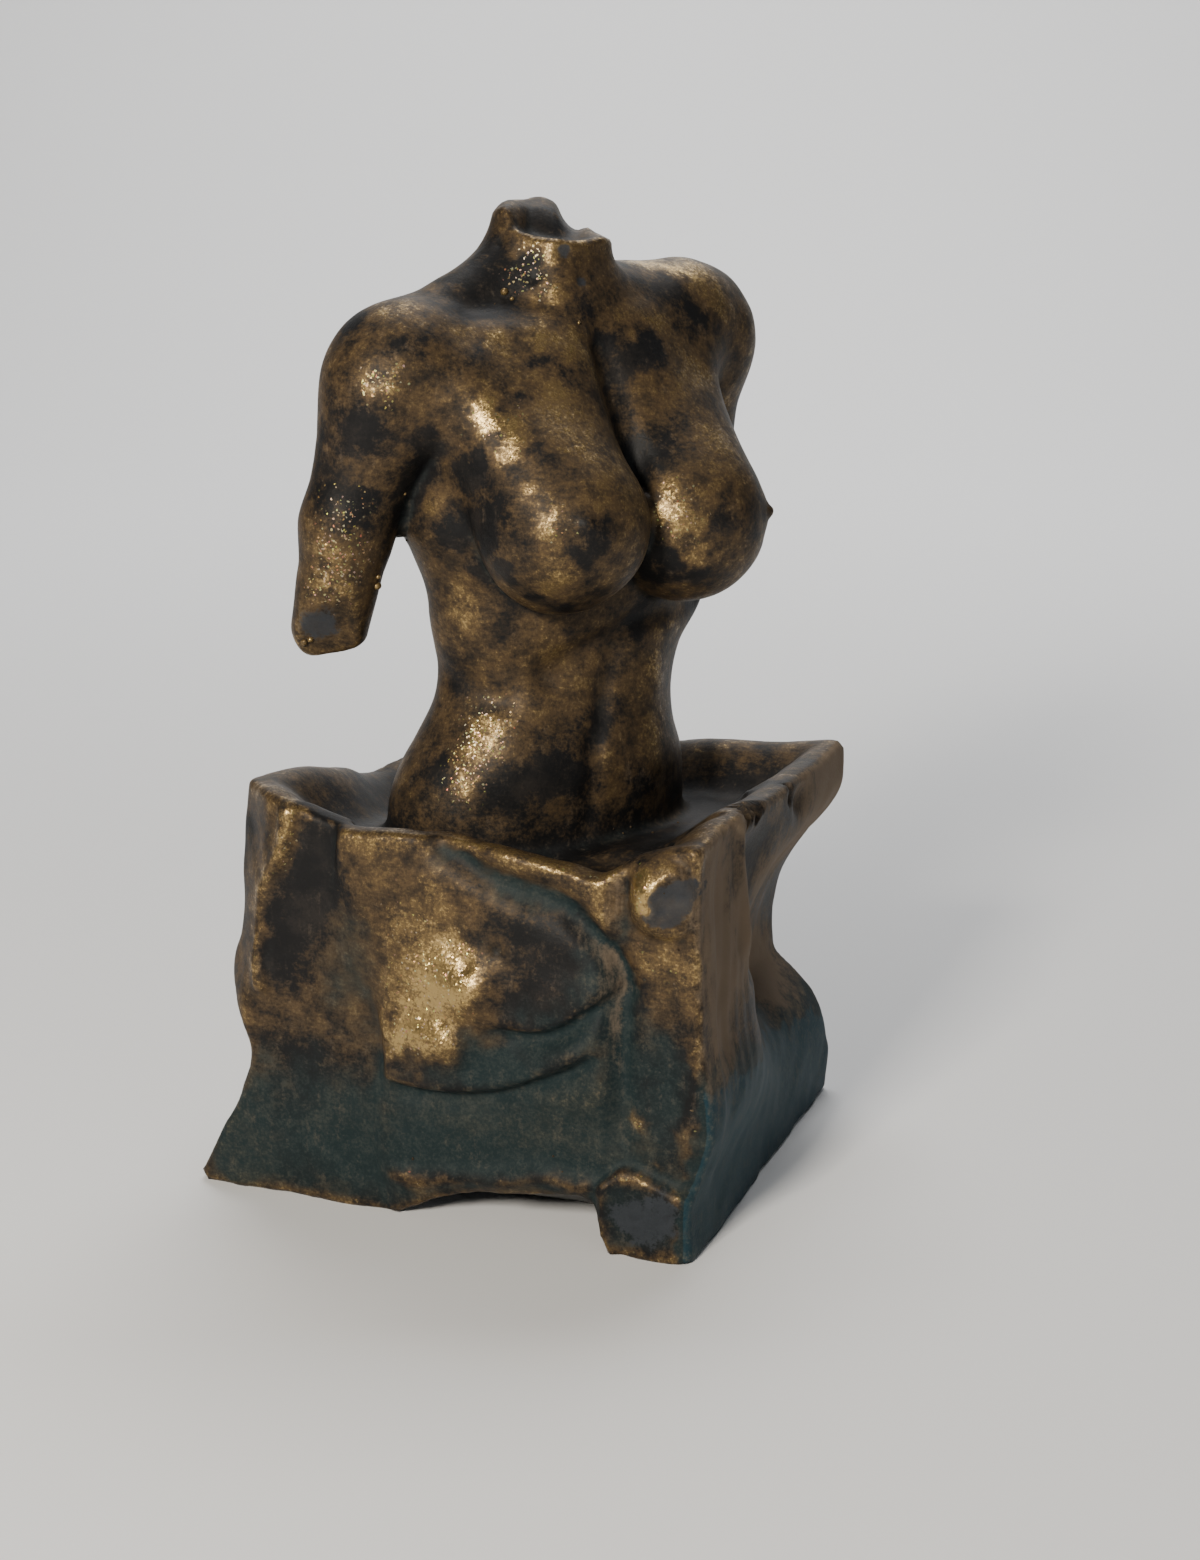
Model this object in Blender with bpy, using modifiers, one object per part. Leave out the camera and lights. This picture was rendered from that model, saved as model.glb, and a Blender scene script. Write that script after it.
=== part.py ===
"""Muse bust: a small cast figure, a torso with cut neck and arms rising out of a rough broken block.

The figure and its block are one casting, so they are one solid. The form is set out as clay is:
simple masses are joined into a blank, the blank is remeshed to one skin, and that skin is then
settled onto the finished form, which the functions below describe as a signed distance.
Metres, +Z up, the block's long front faces -Y, origin under the middle of the block.
"""

import math

import bmesh
import bpy
import numpy as np

MM = 0.001

# Driving sizes, in metres
BLOCK_WIDTH = 86 * MM
BLOCK_DEPTH = 88 * MM
BLOCK_HEIGHT = 75 * MM
BASIN_DEPTH = 9 * MM
RIM_WIDTH = 17 * MM
EDGE_ROUND = 1.5 * MM
ARCH_REACH = 16 * MM
UNDER_CUT = 4 * MM
FIGURE_HEIGHT = 104.5 * MM
FIGURE_RIGHT = -1.4 * MM
FIGURE_BACK = 1.8 * MM
JOIN_ROUND = 3 * MM

# Which way the figure faces, measured from the block's front towards its right side
HIP_TURN = math.radians(53)
CHEST_TURN = math.radians(59)

# The figure is set out in centimetres of a living body, 52.2 from the block's rim to the neck's peak
LIFE = FIGURE_HEIGHT / 52.2

# The block's relief is set out in 75ths of its height, one millimetre at the real size
UNIT = BLOCK_HEIGHT / 75
HALF_WIDTH = BLOCK_WIDTH / UNIT / 2
HALF_DEPTH = BLOCK_DEPTH / UNIT / 2

# How finely the skin is worked
VOXEL = BLOCK_HEIGHT / 47
MOST_TRIANGLES = 9400
SETTLING_ROUNDS = 5
FAR_AWAY = 10.0


def steps_between(low, high, values):
    """0 at low, 1 at high, and a smooth step between them. low may be the higher one."""
    share = np.clip((values - low) / (high - low), 0.0, 1.0)
    return share * share * (3.0 - 2.0 * share)


def along(knots, values):
    """A smooth curve through (place, amount) knots, read at values."""
    places = np.array([knot[0] for knot in knots], float)
    amounts = np.array([knot[1] for knot in knots], float)
    slopes = np.gradient(amounts, places)
    values = np.clip(values, places[0], places[-1])
    index = np.clip(np.searchsorted(places, values) - 1, 0, len(places) - 2)
    span = places[index + 1] - places[index]
    share = (values - places[index]) / span
    square, cube = share**2, share**3
    return (
        (2 * cube - 3 * square + 1) * amounts[index]
        + (cube - 2 * square + share) * span * slopes[index]
        + (3 * square - 2 * cube) * amounts[index + 1]
        + (cube - square) * span * slopes[index + 1]
    )


def union(one, other, blend):
    """Both masses, with a fillet where they meet. blend is the fillet's reach."""
    share = np.clip(0.5 + 0.5 * (other - one) / blend, 0.0, 1.0)
    return other + (one - other) * share - blend * share * (1.0 - share)


def common(one, other, blend):
    """What both masses share, with its new edge rounded."""
    return -union(-one, -other, blend)


def ellipsoid(points, centre, radii, lean=0.0):
    """Distance to an ellipsoid. lean tips its top backwards, in radians."""
    local = points - np.array(centre)
    if lean:
        turned = local.copy()
        turned[:, 1] = local[:, 1] * math.cos(lean) - local[:, 2] * math.sin(lean)
        turned[:, 2] = local[:, 1] * math.sin(lean) + local[:, 2] * math.cos(lean)
        local = turned
    scaled = local / np.array(radii)
    level = np.linalg.norm(scaled, axis=1)
    steepness = np.linalg.norm(scaled / np.array(radii), axis=1)
    return level * (level - 1.0) / np.maximum(steepness, 1e-9)


def limb(points, start, end, start_radius, end_radius):
    """Distance to a tapering limb: a ball at each end and the straight cone that touches both."""
    start, end = np.array(start, float), np.array(end, float)
    length = np.linalg.norm(end - start)
    lean = (start_radius - end_radius) / length
    upright = math.sqrt(1 - lean * lean)
    from_start = points - start
    up = from_start @ (end - start) / length
    out = np.sqrt(np.maximum((from_start**2).sum(1) - up * up, 0.0))
    place = upright * up - lean * out
    first_ball = np.sqrt(out * out + up * up) - start_radius
    last_ball = np.sqrt(out * out + (up - length) ** 2) - end_radius
    cone = upright * out + lean * up - start_radius
    return np.where(place < 0, first_ball, np.where(place > upright * length, last_ball, cone))


def path_distance(points, path):
    """Distance to a path of straight stretches."""
    nearest = np.full(len(points), np.inf)
    for start, end in zip(path, path[1:]):
        nearest = np.minimum(nearest, limb(points, start, end, 0.0, 0.0))
    return nearest


def groove(points, path, width, depth):
    """How far a rounded groove along a path lowers the surface. A negative depth raises a ridge."""
    return depth * np.exp(-((path_distance(points, path) / width) ** 2))


def swelling(points, centre, radius, height):
    """How far a soft round swelling raises the surface, as a negative distance."""
    away = np.linalg.norm(points - np.array(centre), axis=1)
    return -height * np.exp(-((away / radius) ** 2))


def plane(points, place, facing):
    """Distance in front of a plane through a place."""
    facing = np.array(facing, float)
    return (points - np.array(place)) @ (facing / np.linalg.norm(facing))


# The trunk's outline: height, then half width, depth in front and depth behind, in life centimetres
TRUNK_HALF_WIDTH = [
    (-8, 15.0), (-1.5, 15.0), (1, 14.4), (4, 13.0), (7.5, 12.1), (10.5, 12.4), (14.5, 14.2),
    (19.5, 15.5), (25, 15.9), (30, 15.9), (35, 15.0), (38.5, 13.0), (41.5, 9.5), (44, 5.5), (46, 4.2),
]
TRUNK_FRONT = [
    (-8, 9.6), (-1.5, 10.2), (4, 9.8), (7.5, 8.9), (10.5, 8.4), (14.5, 9.0), (19.5, 9.8),
    (25, 10.2), (30, 10.0), (35, 8.8), (38.5, 7.2), (41.5, 5.5), (44, 4.4), (46, 4.2),
]
TRUNK_BACK = [
    (-8, 9.0), (-1.5, 9.5), (4, 8.6), (7.5, 7.6), (10.5, 7.4), (14.5, 8.2), (19.5, 9.4),
    (25, 10.2), (30, 10.4), (35, 9.6), (38.5, 8.2), (41.5, 6.4), (44, 5.0), (46, 4.6),
]
TRUNK_SHIFT = [(-8, -2.0), (-1.5, -1.7), (4, -0.9), (8, 0.0), (12, 0.8), (15, 1.6), (18.6, 1.9), (21.2, 1.2),
               (23.4, 0.2), (26, 0.2), (30, 0.2), (46, 0.0)]


def trunk(points):
    """Distance to the trunk from hips to the root of the neck."""
    height = points[:, 2]
    half_width = along(TRUNK_HALF_WIDTH, height)
    front, back = along(TRUNK_FRONT, height), along(TRUNK_BACK, height)
    across = points[:, 0] - along(TRUNK_SHIFT, height)
    depth = front + (back - front) * steps_between(-3.0, 3.0, points[:, 1])
    scaled_x, scaled_y = across / half_width, points[:, 1] / depth
    level = np.sqrt(scaled_x**2 + scaled_y**2)
    steepness = np.sqrt((scaled_x / half_width) ** 2 + (scaled_y / depth) ** 2)
    body = level * (level - 1.0) / np.maximum(steepness, 1e-9)
    return common(body, height - 45.0, 2.0)


# The breasts: where each hangs, where its nipple points, and where its two tapers start.
# -1 is her right, 1 her left
BREAST_CENTRE = {-1: (-6.5, -10.1, 24.4), 1: (7.3, -10.0, 24.0)}
BREAST_RADIUS = 7.05
NIPPLE_AIM = {-1: (-0.36, -0.92, 0.14), 1: (0.74, -0.67, 0.08)}
COLLAR_START = {-1: (-4.6, -5.4, 36.5), 1: (5.6, -3.4, 37.5)}
ARMPIT_START = {-1: (-12.2, -4.4, 35.0), 1: (12.6, -2.6, 36.5)}


def breast(points, side):
    """Distance to one breast. side is -1 for her right and 1 for her left."""
    centre = np.array(BREAST_CENTRE[side])
    inner = limb(points, COLLAR_START[side], centre, 3.2, BREAST_RADIUS)
    outer = limb(points, ARMPIT_START[side], centre, 3.2, BREAST_RADIUS)
    form = union(inner, outer, 2.5)
    aim = np.array(NIPPLE_AIM[side])
    areola = ellipsoid(points, centre + 6.0 * aim, (1.5, 1.5, 1.5))
    knob = limb(points, centre + 6.8 * aim, centre + 7.75 * aim, 0.66, 0.6)
    return union(union(form, areola, 1.2), knob, 0.4)


def bust(points, form):
    """The form with both breasts joined to it."""
    for side in (-1, 1):
        softness = 0.5 + 3.0 * steps_between(22.0, 32.0, points[:, 2])
        form = union(form, breast(points, side), softness)
    return form


# How much higher each shoulder is, and the flat scar on her right stump
SHOULDER_LIFT = {-1: 0.0, 1: 2.8}
SCAR_PLACE = (-23.3, 3.3, 15.6)
SCAR_FACES = (-0.56, -0.74, -0.38)


def arm(points, side):
    """Distance to one shoulder and the stump of its upper arm."""
    if side < 0:
        shoulder = ellipsoid(points, (-16.2, 1.4, 36.4), (5.6, 5.8, 6.6))
        upper = limb(points, (-16.8, 1.4, 35.5), (-20.0, 3.8, 24.0), 5.2, 4.0)
        lower = limb(points, (-20.0, 3.8, 24.0), (-21.2, 4.8, 15.0), 4.0, 3.5)
        form = union(union(upper, lower, 1.5), shoulder, 4.0)
        form = common(form, plane(points, (-21.0, 4.8, 12.5), (0.22, -0.1, -1.0)), 0.6)
        form = common(form, plane(points, SCAR_PLACE, SCAR_FACES), 0.3)
        return form
    shoulder = ellipsoid(points, (18.9, 2.4, 39.4), (5.6, 5.8, 6.8))
    upper = limb(points, (19.2, 2.6, 39.0), (20.6, 5.6, 20.0), 4.8, 3.8)
    form = union(upper, shoulder, 2.5)
    return common(form, plane(points, (20.6, 5.6, 19.6), (0.1, -0.25, -1.0)), 1.0)


# The neck's turn, its broken top along the near and the far rim, and its rise between them
NECK_TURN = math.radians(13)
NEAR_RIM = [(-5.0, 50.2), (-2.6, 49.5), (-1.3, 49.1), (0.2, 48.8), (1.8, 48.6), (3.6, 48.8), (4.5, 49.0), (5.5, 48.4)]
FAR_RIM = [(-5.2, 51.2), (-4.6, 51.7), (-2.8, 52.1), (-1.5, 52.3), (-0.3, 52.1), (0.4, 51.6), (1.0, 50.4),
           (1.6, 49.7), (2.4, 49.4), (3.2, 49.7), (3.9, 49.3), (4.9, 48.8)]
BREAK_PROFILE = [(-5.5, 0.0), (-1.6, 0.0), (-0.5, 0.12), (0.4, 0.45), (1.3, 0.70), (2.6, 0.86), (4.2, 1.0), (6, 1.0)]


def neck(points):
    """Distance to the neck, a rounded square that widens towards the shoulders."""
    x = points[:, 0] - 0.2
    y = points[:, 1] - 0.3 + 0.03 * (points[:, 2] - 40.0)
    turned_x = x * math.cos(NECK_TURN) + y * math.sin(NECK_TURN)
    turned_y = -x * math.sin(NECK_TURN) + y * math.cos(NECK_TURN)
    section = (np.abs(turned_x) ** 3.4 + np.abs(turned_y) ** 3.4 + 1e-9) ** (1 / 3.4)
    half_side = 4.65 + 1.6 * steps_between(48.0, 42.0, points[:, 2])
    return np.maximum(section - half_side, 38.0 - points[:, 2])


def neck_top(points):
    """Height of the broken top of the neck: a ledge inside its near rim, then a wall up to its far rim."""
    to_far = 0.61 * points[:, 0] + 0.79 * points[:, 1]
    across = 0.79 * points[:, 0] - 0.61 * points[:, 1]
    near, far = along(NEAR_RIM, across), along(FAR_RIM, across)
    to_far = to_far + 3.4 * steps_between(-1.8, -4.2, across)
    height = near + (far - near) * along(BREAK_PROFILE, to_far)
    return height - 0.35 * np.exp(-(((to_far + 1.2) / 1.8) ** 2) - ((across + 0.2) / 2.6) ** 2)


# Valleys, ridges and swellings of the body, in life centimetres
BODY_CREASES = [
    ([(0, -7.6, 39), (0.3, -10.2, 33), (0.6, -11.6, 28), (0.6, -11.8, 24)], 1.3, 1.1),
    ([(12.6, -6.0, 15.6), (7.5, -8.6, 15.4), (3.5, -9.0, 15.0), (0.1, -8.8, 13.2), (-3.1, -8.4, 12.0), (-5.6, -7.6, 10.4)], 1.3, 0.85),
    ([(1.0, -8.4, 12.4), (-0.1, -8.6, 8.6), (-0.8, -9.3, 5.8), (-1.6, -9.8, 4.0)], 0.9, 0.75),
    ([(-1.6, -9.8, 4.0), (-2.4, -10.3, -3)], 1.1, 0.4),
    ([(-12.4, 1.0, 10.2), (-11.8, -0.8, 9.7), (-10.9, -3.5, 9.0), (-9.2, -5.6, 8.1)], 1.3, 0.4),
    ([(0, 11, 38), (0, 9.0, 20), (-1, 8, 8), (-1.6, 9, 4)], 1.7, 1.0),
    ([(-5.5, 8.5, 40.0), (-4.5, 11.0, 33.0), (-5.5, 11.0, 26.0)], 1.5, 0.4),
    ([(5.5, 8.5, 41.0), (4.5, 11.0, 34.0), (5.5, 11.0, 27.0)], 1.5, 0.4),
]
COLLAR_BONES = [
    [(-1.6, -6.0, 41.2), (-6.5, -5.6, 41.0), (-12.5, -2.8, 41.6), (-15.0, -0.5, 42.6)],
    [(2.2, -6.0, 41.4), (8.0, -5.2, 42.0), (14.0, -2.0, 43.8)],
]
BODY_SWELLINGS = [
    ((5.4, -8.2, 9.4), 3.0, 0.75), ((4.6, -9.6, 2.2), 4.0, 0.6), ((-9.5, -6.8, 4.2), 4.0, 0.6),
    ((-6.5, -7.4, 15.0), 4.0, 0.35), ((-7.5, -6.0, 37.0), 4.0, 0.35),
]


def figure(points):
    """Distance to the whole figure, in life centimetres, in its own frame: x to her left, y back."""
    form = union(trunk(points), neck(points), 2.0)
    for side in (-1, 1):
        lift = SHOULDER_LIFT[side]
        slope_start = (side * 1.5, 2.0, 46.0 - 0.9 * lift)
        slope = limb(points, slope_start, (side * 15.0, 2.0, 39.4 + 1.2 * lift), 3.4, 3.5)
        form = union(form, slope, 3.5)
        form = union(form, ellipsoid(points, (side * 8.5, 6.6, 31.5), (5.2, 3.6, 8.0)), 3.0)
        form = union(form, ellipsoid(points, (side * 5.6 - 1.2, 5.4, -3.0), (6.0, 6.4, 6.4)), 1.8)
        joined = 0.3 + 2.5 * steps_between(28.0, 37.0, points[:, 2])
        form = union(form, arm(points, side), joined)
        chest = limb(points, (side * 4.0, -3.0, 37.0), (side * 14.5, -0.6, 37.6 + lift), 4.4, 4.2)
        form = union(form, chest, 2.6)
    form = union(form, limb(points, (4.0, -1.0, 41.5), (16.0, 0.6, 42.2), 4.0, 4.0), 2.0)
    form = bust(points, form)
    for path in COLLAR_BONES:
        form = form + groove(points, path, 1.5, -0.25)
    for path, width, depth in BODY_CREASES:
        form = form + groove(points, path, width, depth)
    for centre, radius, height in BODY_SWELLINGS:
        form = form + swelling(points, centre, radius, height)
    return common(form, points[:, 2] - neck_top(points), 0.35)


# The block's upright edges: height, then how far they stand out from its nominal box
FRONT_LEFT_EDGE = [
    (0, 13.0), (11, 6.8), (19.5, 2.8), (27.5, 0.6), (33, 2.4), (39.5, 7.2), (50, 5.4),
    (56, 4.8), (62, 4.4), (69, 4.4), (75, 3.4),
]
BACK_LEFT_EDGE = [(0, 2.0), (22, -1.5), (45, 0.6), (64, -1.0), (75, 0.0)]
BACK_RIGHT_EDGE = [
    (0, -0.4), (16.5, -1.4), (22, -3.8), (25.5, -7.4), (29, -11.4), (33, -12.4), (41, -12.0),
    (50, -9.0), (55.5, -5.4), (60.5, -1.2), (65, 1.2), (75, 1.4),
]
FRONT_RIGHT_EDGE = [(0, 0.3), (12, 0.2), (17, 1.6), (22, 2.8), (29, 2.9), (36, 1.6), (52, 0.9), (71, 0.6), (75, 1.0)]
# How much is taken off the left front corner, by height, and the arch under the front edge
CORNER_CUT = [(0, 0), (55, 0), (60, 0.6), (64, 1.8), (69, 3.2), (75, 4.0)]
ARCH_LINE = [(-14, 0), (-10, 2.0), (-6.7, 4.0), (1.3, 6.5), (12, 8.2), (20, 9.4), (23.4, 9.5), (25.4, 7.2), (26.6, 3.8), (27.6, 0)]
# The rim's height on each side: place along the side, then above or below the block's height
FRONT_RIM = [
    (-43, 2.0), (-36, 1.4), (-28, -1.4), (-22, -2.8), (-10, -2.4), (0, -3.0), (11, -4.2),
    (20, -5.6), (26, -7.2), (32, -4.2), (38, -1.8), (43, 0.0),
]
LEFT_RIM = [(-44, 1.6), (-31, 1.2), (-22, 0.6), (-6, -2.8), (10, -7.5), (26, -6.0), (44, -3.0)]
BACK_RIM = [(-43, -3.0), (-30, -4.5), (-17, -5.5), (4, -4.0), (18, -1.8), (36, -1.4), (43, -0.4)]
RIGHT_RIM = [(-44, 0.0), (-22, 0.8), (-4, -1.0), (18, -1.0), (36, -0.8), (44, -0.4)]


def window(values, low, high, soft):
    """1 between low and high, 0 outside, over a soft edge."""
    return steps_between(low - soft, low + soft, values) * steps_between(high + soft, high - soft, values)


def hump(across, up, centre, radii):
    """A soft round rise on a face, 1 at its centre."""
    return np.exp(-(((across - centre[0]) / radii[0]) ** 2) - ((up - centre[1]) / radii[1]) ** 2)


def seam(across, up, path, width, height):
    """A narrow roll of metal standing up along a path over a face."""
    flat = np.stack([across, up, np.zeros_like(across)], 1)
    return height * np.exp(-((path_distance(flat, [(*place, 0.0) for place in path]) / width) ** 2))


def fold(across, up, line, rise, drop):
    """A fold whose lower edge runs along a line: a swelling above it, an undercut below."""
    above = up - along(line, across)
    ends = window(across, line[0][0], line[-1][0], 4.5)
    over = rise * np.exp(-((above / 4.5) ** 2))
    under = -drop * np.exp(-((above / 3.2) ** 2))
    return ends * (under + (over - under) * steps_between(-1.1, 1.3, above))


def crease(across, up, line, width, depth):
    """A valley along a line over a face, negative so that it goes inwards."""
    away = up - along(line, across)
    return -depth * window(across, line[0][0], line[-1][0], 3.0) * np.exp(-((away / width) ** 2))


# The lines of the draped panel and of the corner's chips, over the block's front
PANEL_LEFT = [
    (0, -14.3), (7, -15.6), (12, -17.0), (20, -16.6), (25, -15.4), (35.6, -15.3), (42, -16.2),
    (48, -18.5), (56, -22.0), (62, -23.4), (66, -23.7), (75, -22.4),
]
PANEL_EDGE_SOFTNESS = [(0, 2.4), (20, 1.8), (30, 1.3), (38, 1.7), (45, 4.5), (52, 6.0), (60, 3.0), (66, 1.4), (75, 1.0)]
PANEL_BULGES = [
    ((3.6, 45.5), 9.0, 5.0, 6.4, 3.3), ((-2.4, 35.2), 8.0, 5.0, 4.5, 3.1), ((16, 47), 6.0, 8.0, 4.5, 1.2),
    ((-10, 50), 5.0, 5.0, 8.0, 0.7), ((18, 36.5), 6.0, 6.0, 3.4, 1.2),
]
SWOOSH_LINE = [(-6, 72.5), (0, 69.6), (6, 66.4), (11, 64.8), (16, 63.8), (21, 61.6), (26, 57.0), (31, 50.0)]
LOWER_FOLD = [(-14, 26.2), (-9, 25.6), (-4, 25.6), (1.6, 26.2), (7.4, 27.6), (13, 30), (19, 33), (25, 36.4)]
UPPER_FOLD = [(8, 39.6), (12, 39.2), (16, 39.7), (20, 41.4), (24, 44.6), (29.8, 48.8)]
HEM_LINE = [(-16, 8.4), (-8.6, 8.2), (1.3, 10.0), (8, 10.6), (15, 12.4), (22, 11.9), (27, 12.4)]
LEFT_RIDGE = [(-33.4, 75), (-34.2, 68.3), (-36.6, 64.0), (-39.6, 61.3), (-41.2, 58.1), (-41.4, 46), (-40.4, 41)]
FOOT_TOP = [(24, 10.0), (27, 13.6), (30.3, 16.0), (34.7, 15.0), (42, 12.8), (47, 12.4)]


def panel_relief(across, up):
    """The draped panel: raised from its left edge on, swollen in the middle, with folds below."""
    edge, soft = along(PANEL_LEFT, up), along(PANEL_EDGE_SOFTNESS, up)
    panel = steps_between(edge - soft, edge + soft, across) * steps_between(31.0, 26.0, across)
    relief = panel * (1.0 + 1.3 * steps_between(22.0, 30.0, up))
    for centre, left_reach, right_reach, height_reach, rise in PANEL_BULGES:
        reach = np.where(across < centre[0], left_reach, right_reach)
        relief += rise * hump(across, up, centre, (reach, height_reach))
    relief += crease(across, up, SWOOSH_LINE, 3.3, 2.5)
    relief += fold(across, up, LOWER_FOLD, 1.2, 1.9) + fold(across, up, UPPER_FOLD, 1.0, 1.7)
    return relief


def corner_relief(across, up):
    """The knob at the top right, the sunk field below it, the foot, the hem and the left ridge."""
    knob_x, knob_z = (across - 37.0) / 6.0, (up - 65.4) / 7.2
    from_middle = (np.abs(knob_x) ** 2.8 + np.abs(knob_z) ** 2.2 + 1e-9) ** (1 / 2.5)
    dome = 4.2 * np.clip(1.0 - np.clip(from_middle, 0, 1) ** 2, 0, 1) ** 0.8
    worn_edge = 36.4 + 0.5 * np.sin(up * 1.3) + 0.08 * (up - 66)
    worn = 3.7 - 0.34 * np.clip(across - worn_edge, 0, None) - 0.7 * steps_between(worn_edge, worn_edge + 1.0, across)
    relief = np.minimum(dome, worn)
    relief -= 1.0 * hump(across, up, (38.6, 29.0), (4.0, 9.0))
    relief -= 1.5 * hump(across, up, (29.5, 40), (2.6, 20)) * steps_between(16.0, 24.0, up)
    relief += 2.0 * steps_between(24.8, 27.2, across) * steps_between(1.2, -1.2, up - along(FOOT_TOP, across))
    relief += 1.5 * window(across, -15, 26, 3.0) * np.exp(-(((up - along(HEM_LINE, across)) / 1.9) ** 2))
    relief += seam(across, up, LEFT_RIDGE, 1.7, 1.9)
    return relief


def front_relief(across, up):
    """What stands out of the block's front."""
    return panel_relief(across, up) + corner_relief(across, up)


def right_relief(back, up):
    """What stands out of the block's right side: a thin ridge and the hollow behind it."""
    ridge_place = -24.5 + 0.22 * (75 - up)
    relief = 1.3 * np.exp(-(((back - ridge_place) / 1.9) ** 2)) * steps_between(44.0, 54.0, up)
    behind = steps_between(0.6, 4.2, back - ridge_place) * steps_between(26.0, 8.0, back - ridge_place)
    relief -= 3.6 * behind * window(up, 44.0, 68.0, 5.0) + 1.8 * hump(back, up, (13, 69), (4.4, 3.0))
    relief -= 0.8 * hump(back, up, (-33, 50), (4, 24)) - 0.7 * hump(back, up, (-38, 40), (2.5, 26))
    return relief


def block(points):
    """Distance to the broken block, in metres."""
    side, back, up = points[:, 0] / UNIT, points[:, 1] / UNIT, points[:, 2] / UNIT
    to_back = steps_between(-18.0, 20.0, back)
    to_back_left = steps_between(-8.0, 30.0, back)
    left_edge = along(FRONT_LEFT_EDGE, up) * (1 - to_back_left) + along(BACK_LEFT_EDGE, up) * to_back_left
    right_edge = along(FRONT_RIGHT_EDGE, up) * (1 - to_back) + along(BACK_RIGHT_EDGE, up) * to_back
    left_wall = -HALF_WIDTH - left_edge - 1.2 * np.sin(back / 7) * np.sin(up / 9) - side
    right_wall = side - HALF_WIDTH - right_edge - right_relief(back, up)
    front_wall = -HALF_DEPTH - 0.5 - front_relief(side, up) - back
    back_wall = back - HALF_DEPTH + 1.5 + 1.5 * np.sin(side / 11) * np.cos(up / 13)
    toe = 17.0 * steps_between(26, 4, up)
    chamfer = (-side - back - HALF_WIDTH - HALF_DEPTH) * math.sqrt(0.5) + 0.4 + np.sin(up / 7) - toe
    chamfer = chamfer + along(CORNER_CUT, up)
    edge = EDGE_ROUND / UNIT
    walls = common(common(left_wall, right_wall, edge), common(front_wall, back_wall, edge), edge)
    walls = common(walls, chamfer, edge)
    closeness = [np.exp(np.clip(wall, -60, 0) / 7) for wall in (front_wall, left_wall, back_wall, right_wall)]
    rims = [along(FRONT_RIM, side), along(LEFT_RIM, back), along(BACK_RIM, side), along(RIGHT_RIM, back)]
    rim = sum(near * height for near, height in zip(closeness, rims)) / sum(closeness)
    basin = steps_between(3.0, RIM_WIDTH / UNIT, -walls)
    top = up - BLOCK_HEIGHT / UNIT - rim + BASIN_DEPTH / UNIT * basin
    form = common(walls, top, edge)
    inwards = (back + HALF_DEPTH) / (ARCH_REACH / UNIT)
    arch = (up - along(ARCH_LINE, side) * np.clip(1.0 - inwards, 0.0, 1.0)) * 0.9
    form = common(form, -arch, 0.8)
    return common(form, -up - UNDER_CUT / UNIT, 0.5) * UNIT


def muse(points):
    """Distance to the whole casting, in metres."""
    above_rim = points[:, 2] - BLOCK_HEIGHT
    whole = np.full(len(points), FAR_AWAY)
    low = above_rim < 14 * LIFE
    whole[low] = block(points[low])
    high = above_rim > -12 * LIFE
    from_axis = points[high] - np.array([FIGURE_RIGHT, FIGURE_BACK, BLOCK_HEIGHT])
    turned = steps_between(0.0, 22 * LIFE, from_axis[:, 2])
    turn = HIP_TURN + (CHEST_TURN - HIP_TURN) * turned
    own = np.empty_like(from_axis)
    own[:, 0] = from_axis[:, 0] * np.cos(turn) + from_axis[:, 1] * np.sin(turn)
    own[:, 1] = -from_axis[:, 0] * np.sin(turn) + from_axis[:, 1] * np.cos(turn)
    own[:, 2] = from_axis[:, 2]
    whole[high] = union(whole[high], figure(own / LIFE) * LIFE, JOIN_ROUND)
    return whole


def add_ball(mesh, centre, radii):
    """One ball of clay, given in the figure's own frame and placed where the figure stands."""
    made = bmesh.ops.create_uvsphere(mesh, u_segments=24, v_segments=12, radius=1.0)["verts"]
    for vertex in made:
        x, y, z = (vertex.co[i] * radii[i] + centre[i] for i in range(3))
        vertex.co = (
            FIGURE_RIGHT + LIFE * (x * math.cos(CHEST_TURN) - y * math.sin(CHEST_TURN)),
            FIGURE_BACK + LIFE * (x * math.sin(CHEST_TURN) + y * math.cos(CHEST_TURN)),
            BLOCK_HEIGHT + LIFE * z,
        )


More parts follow.
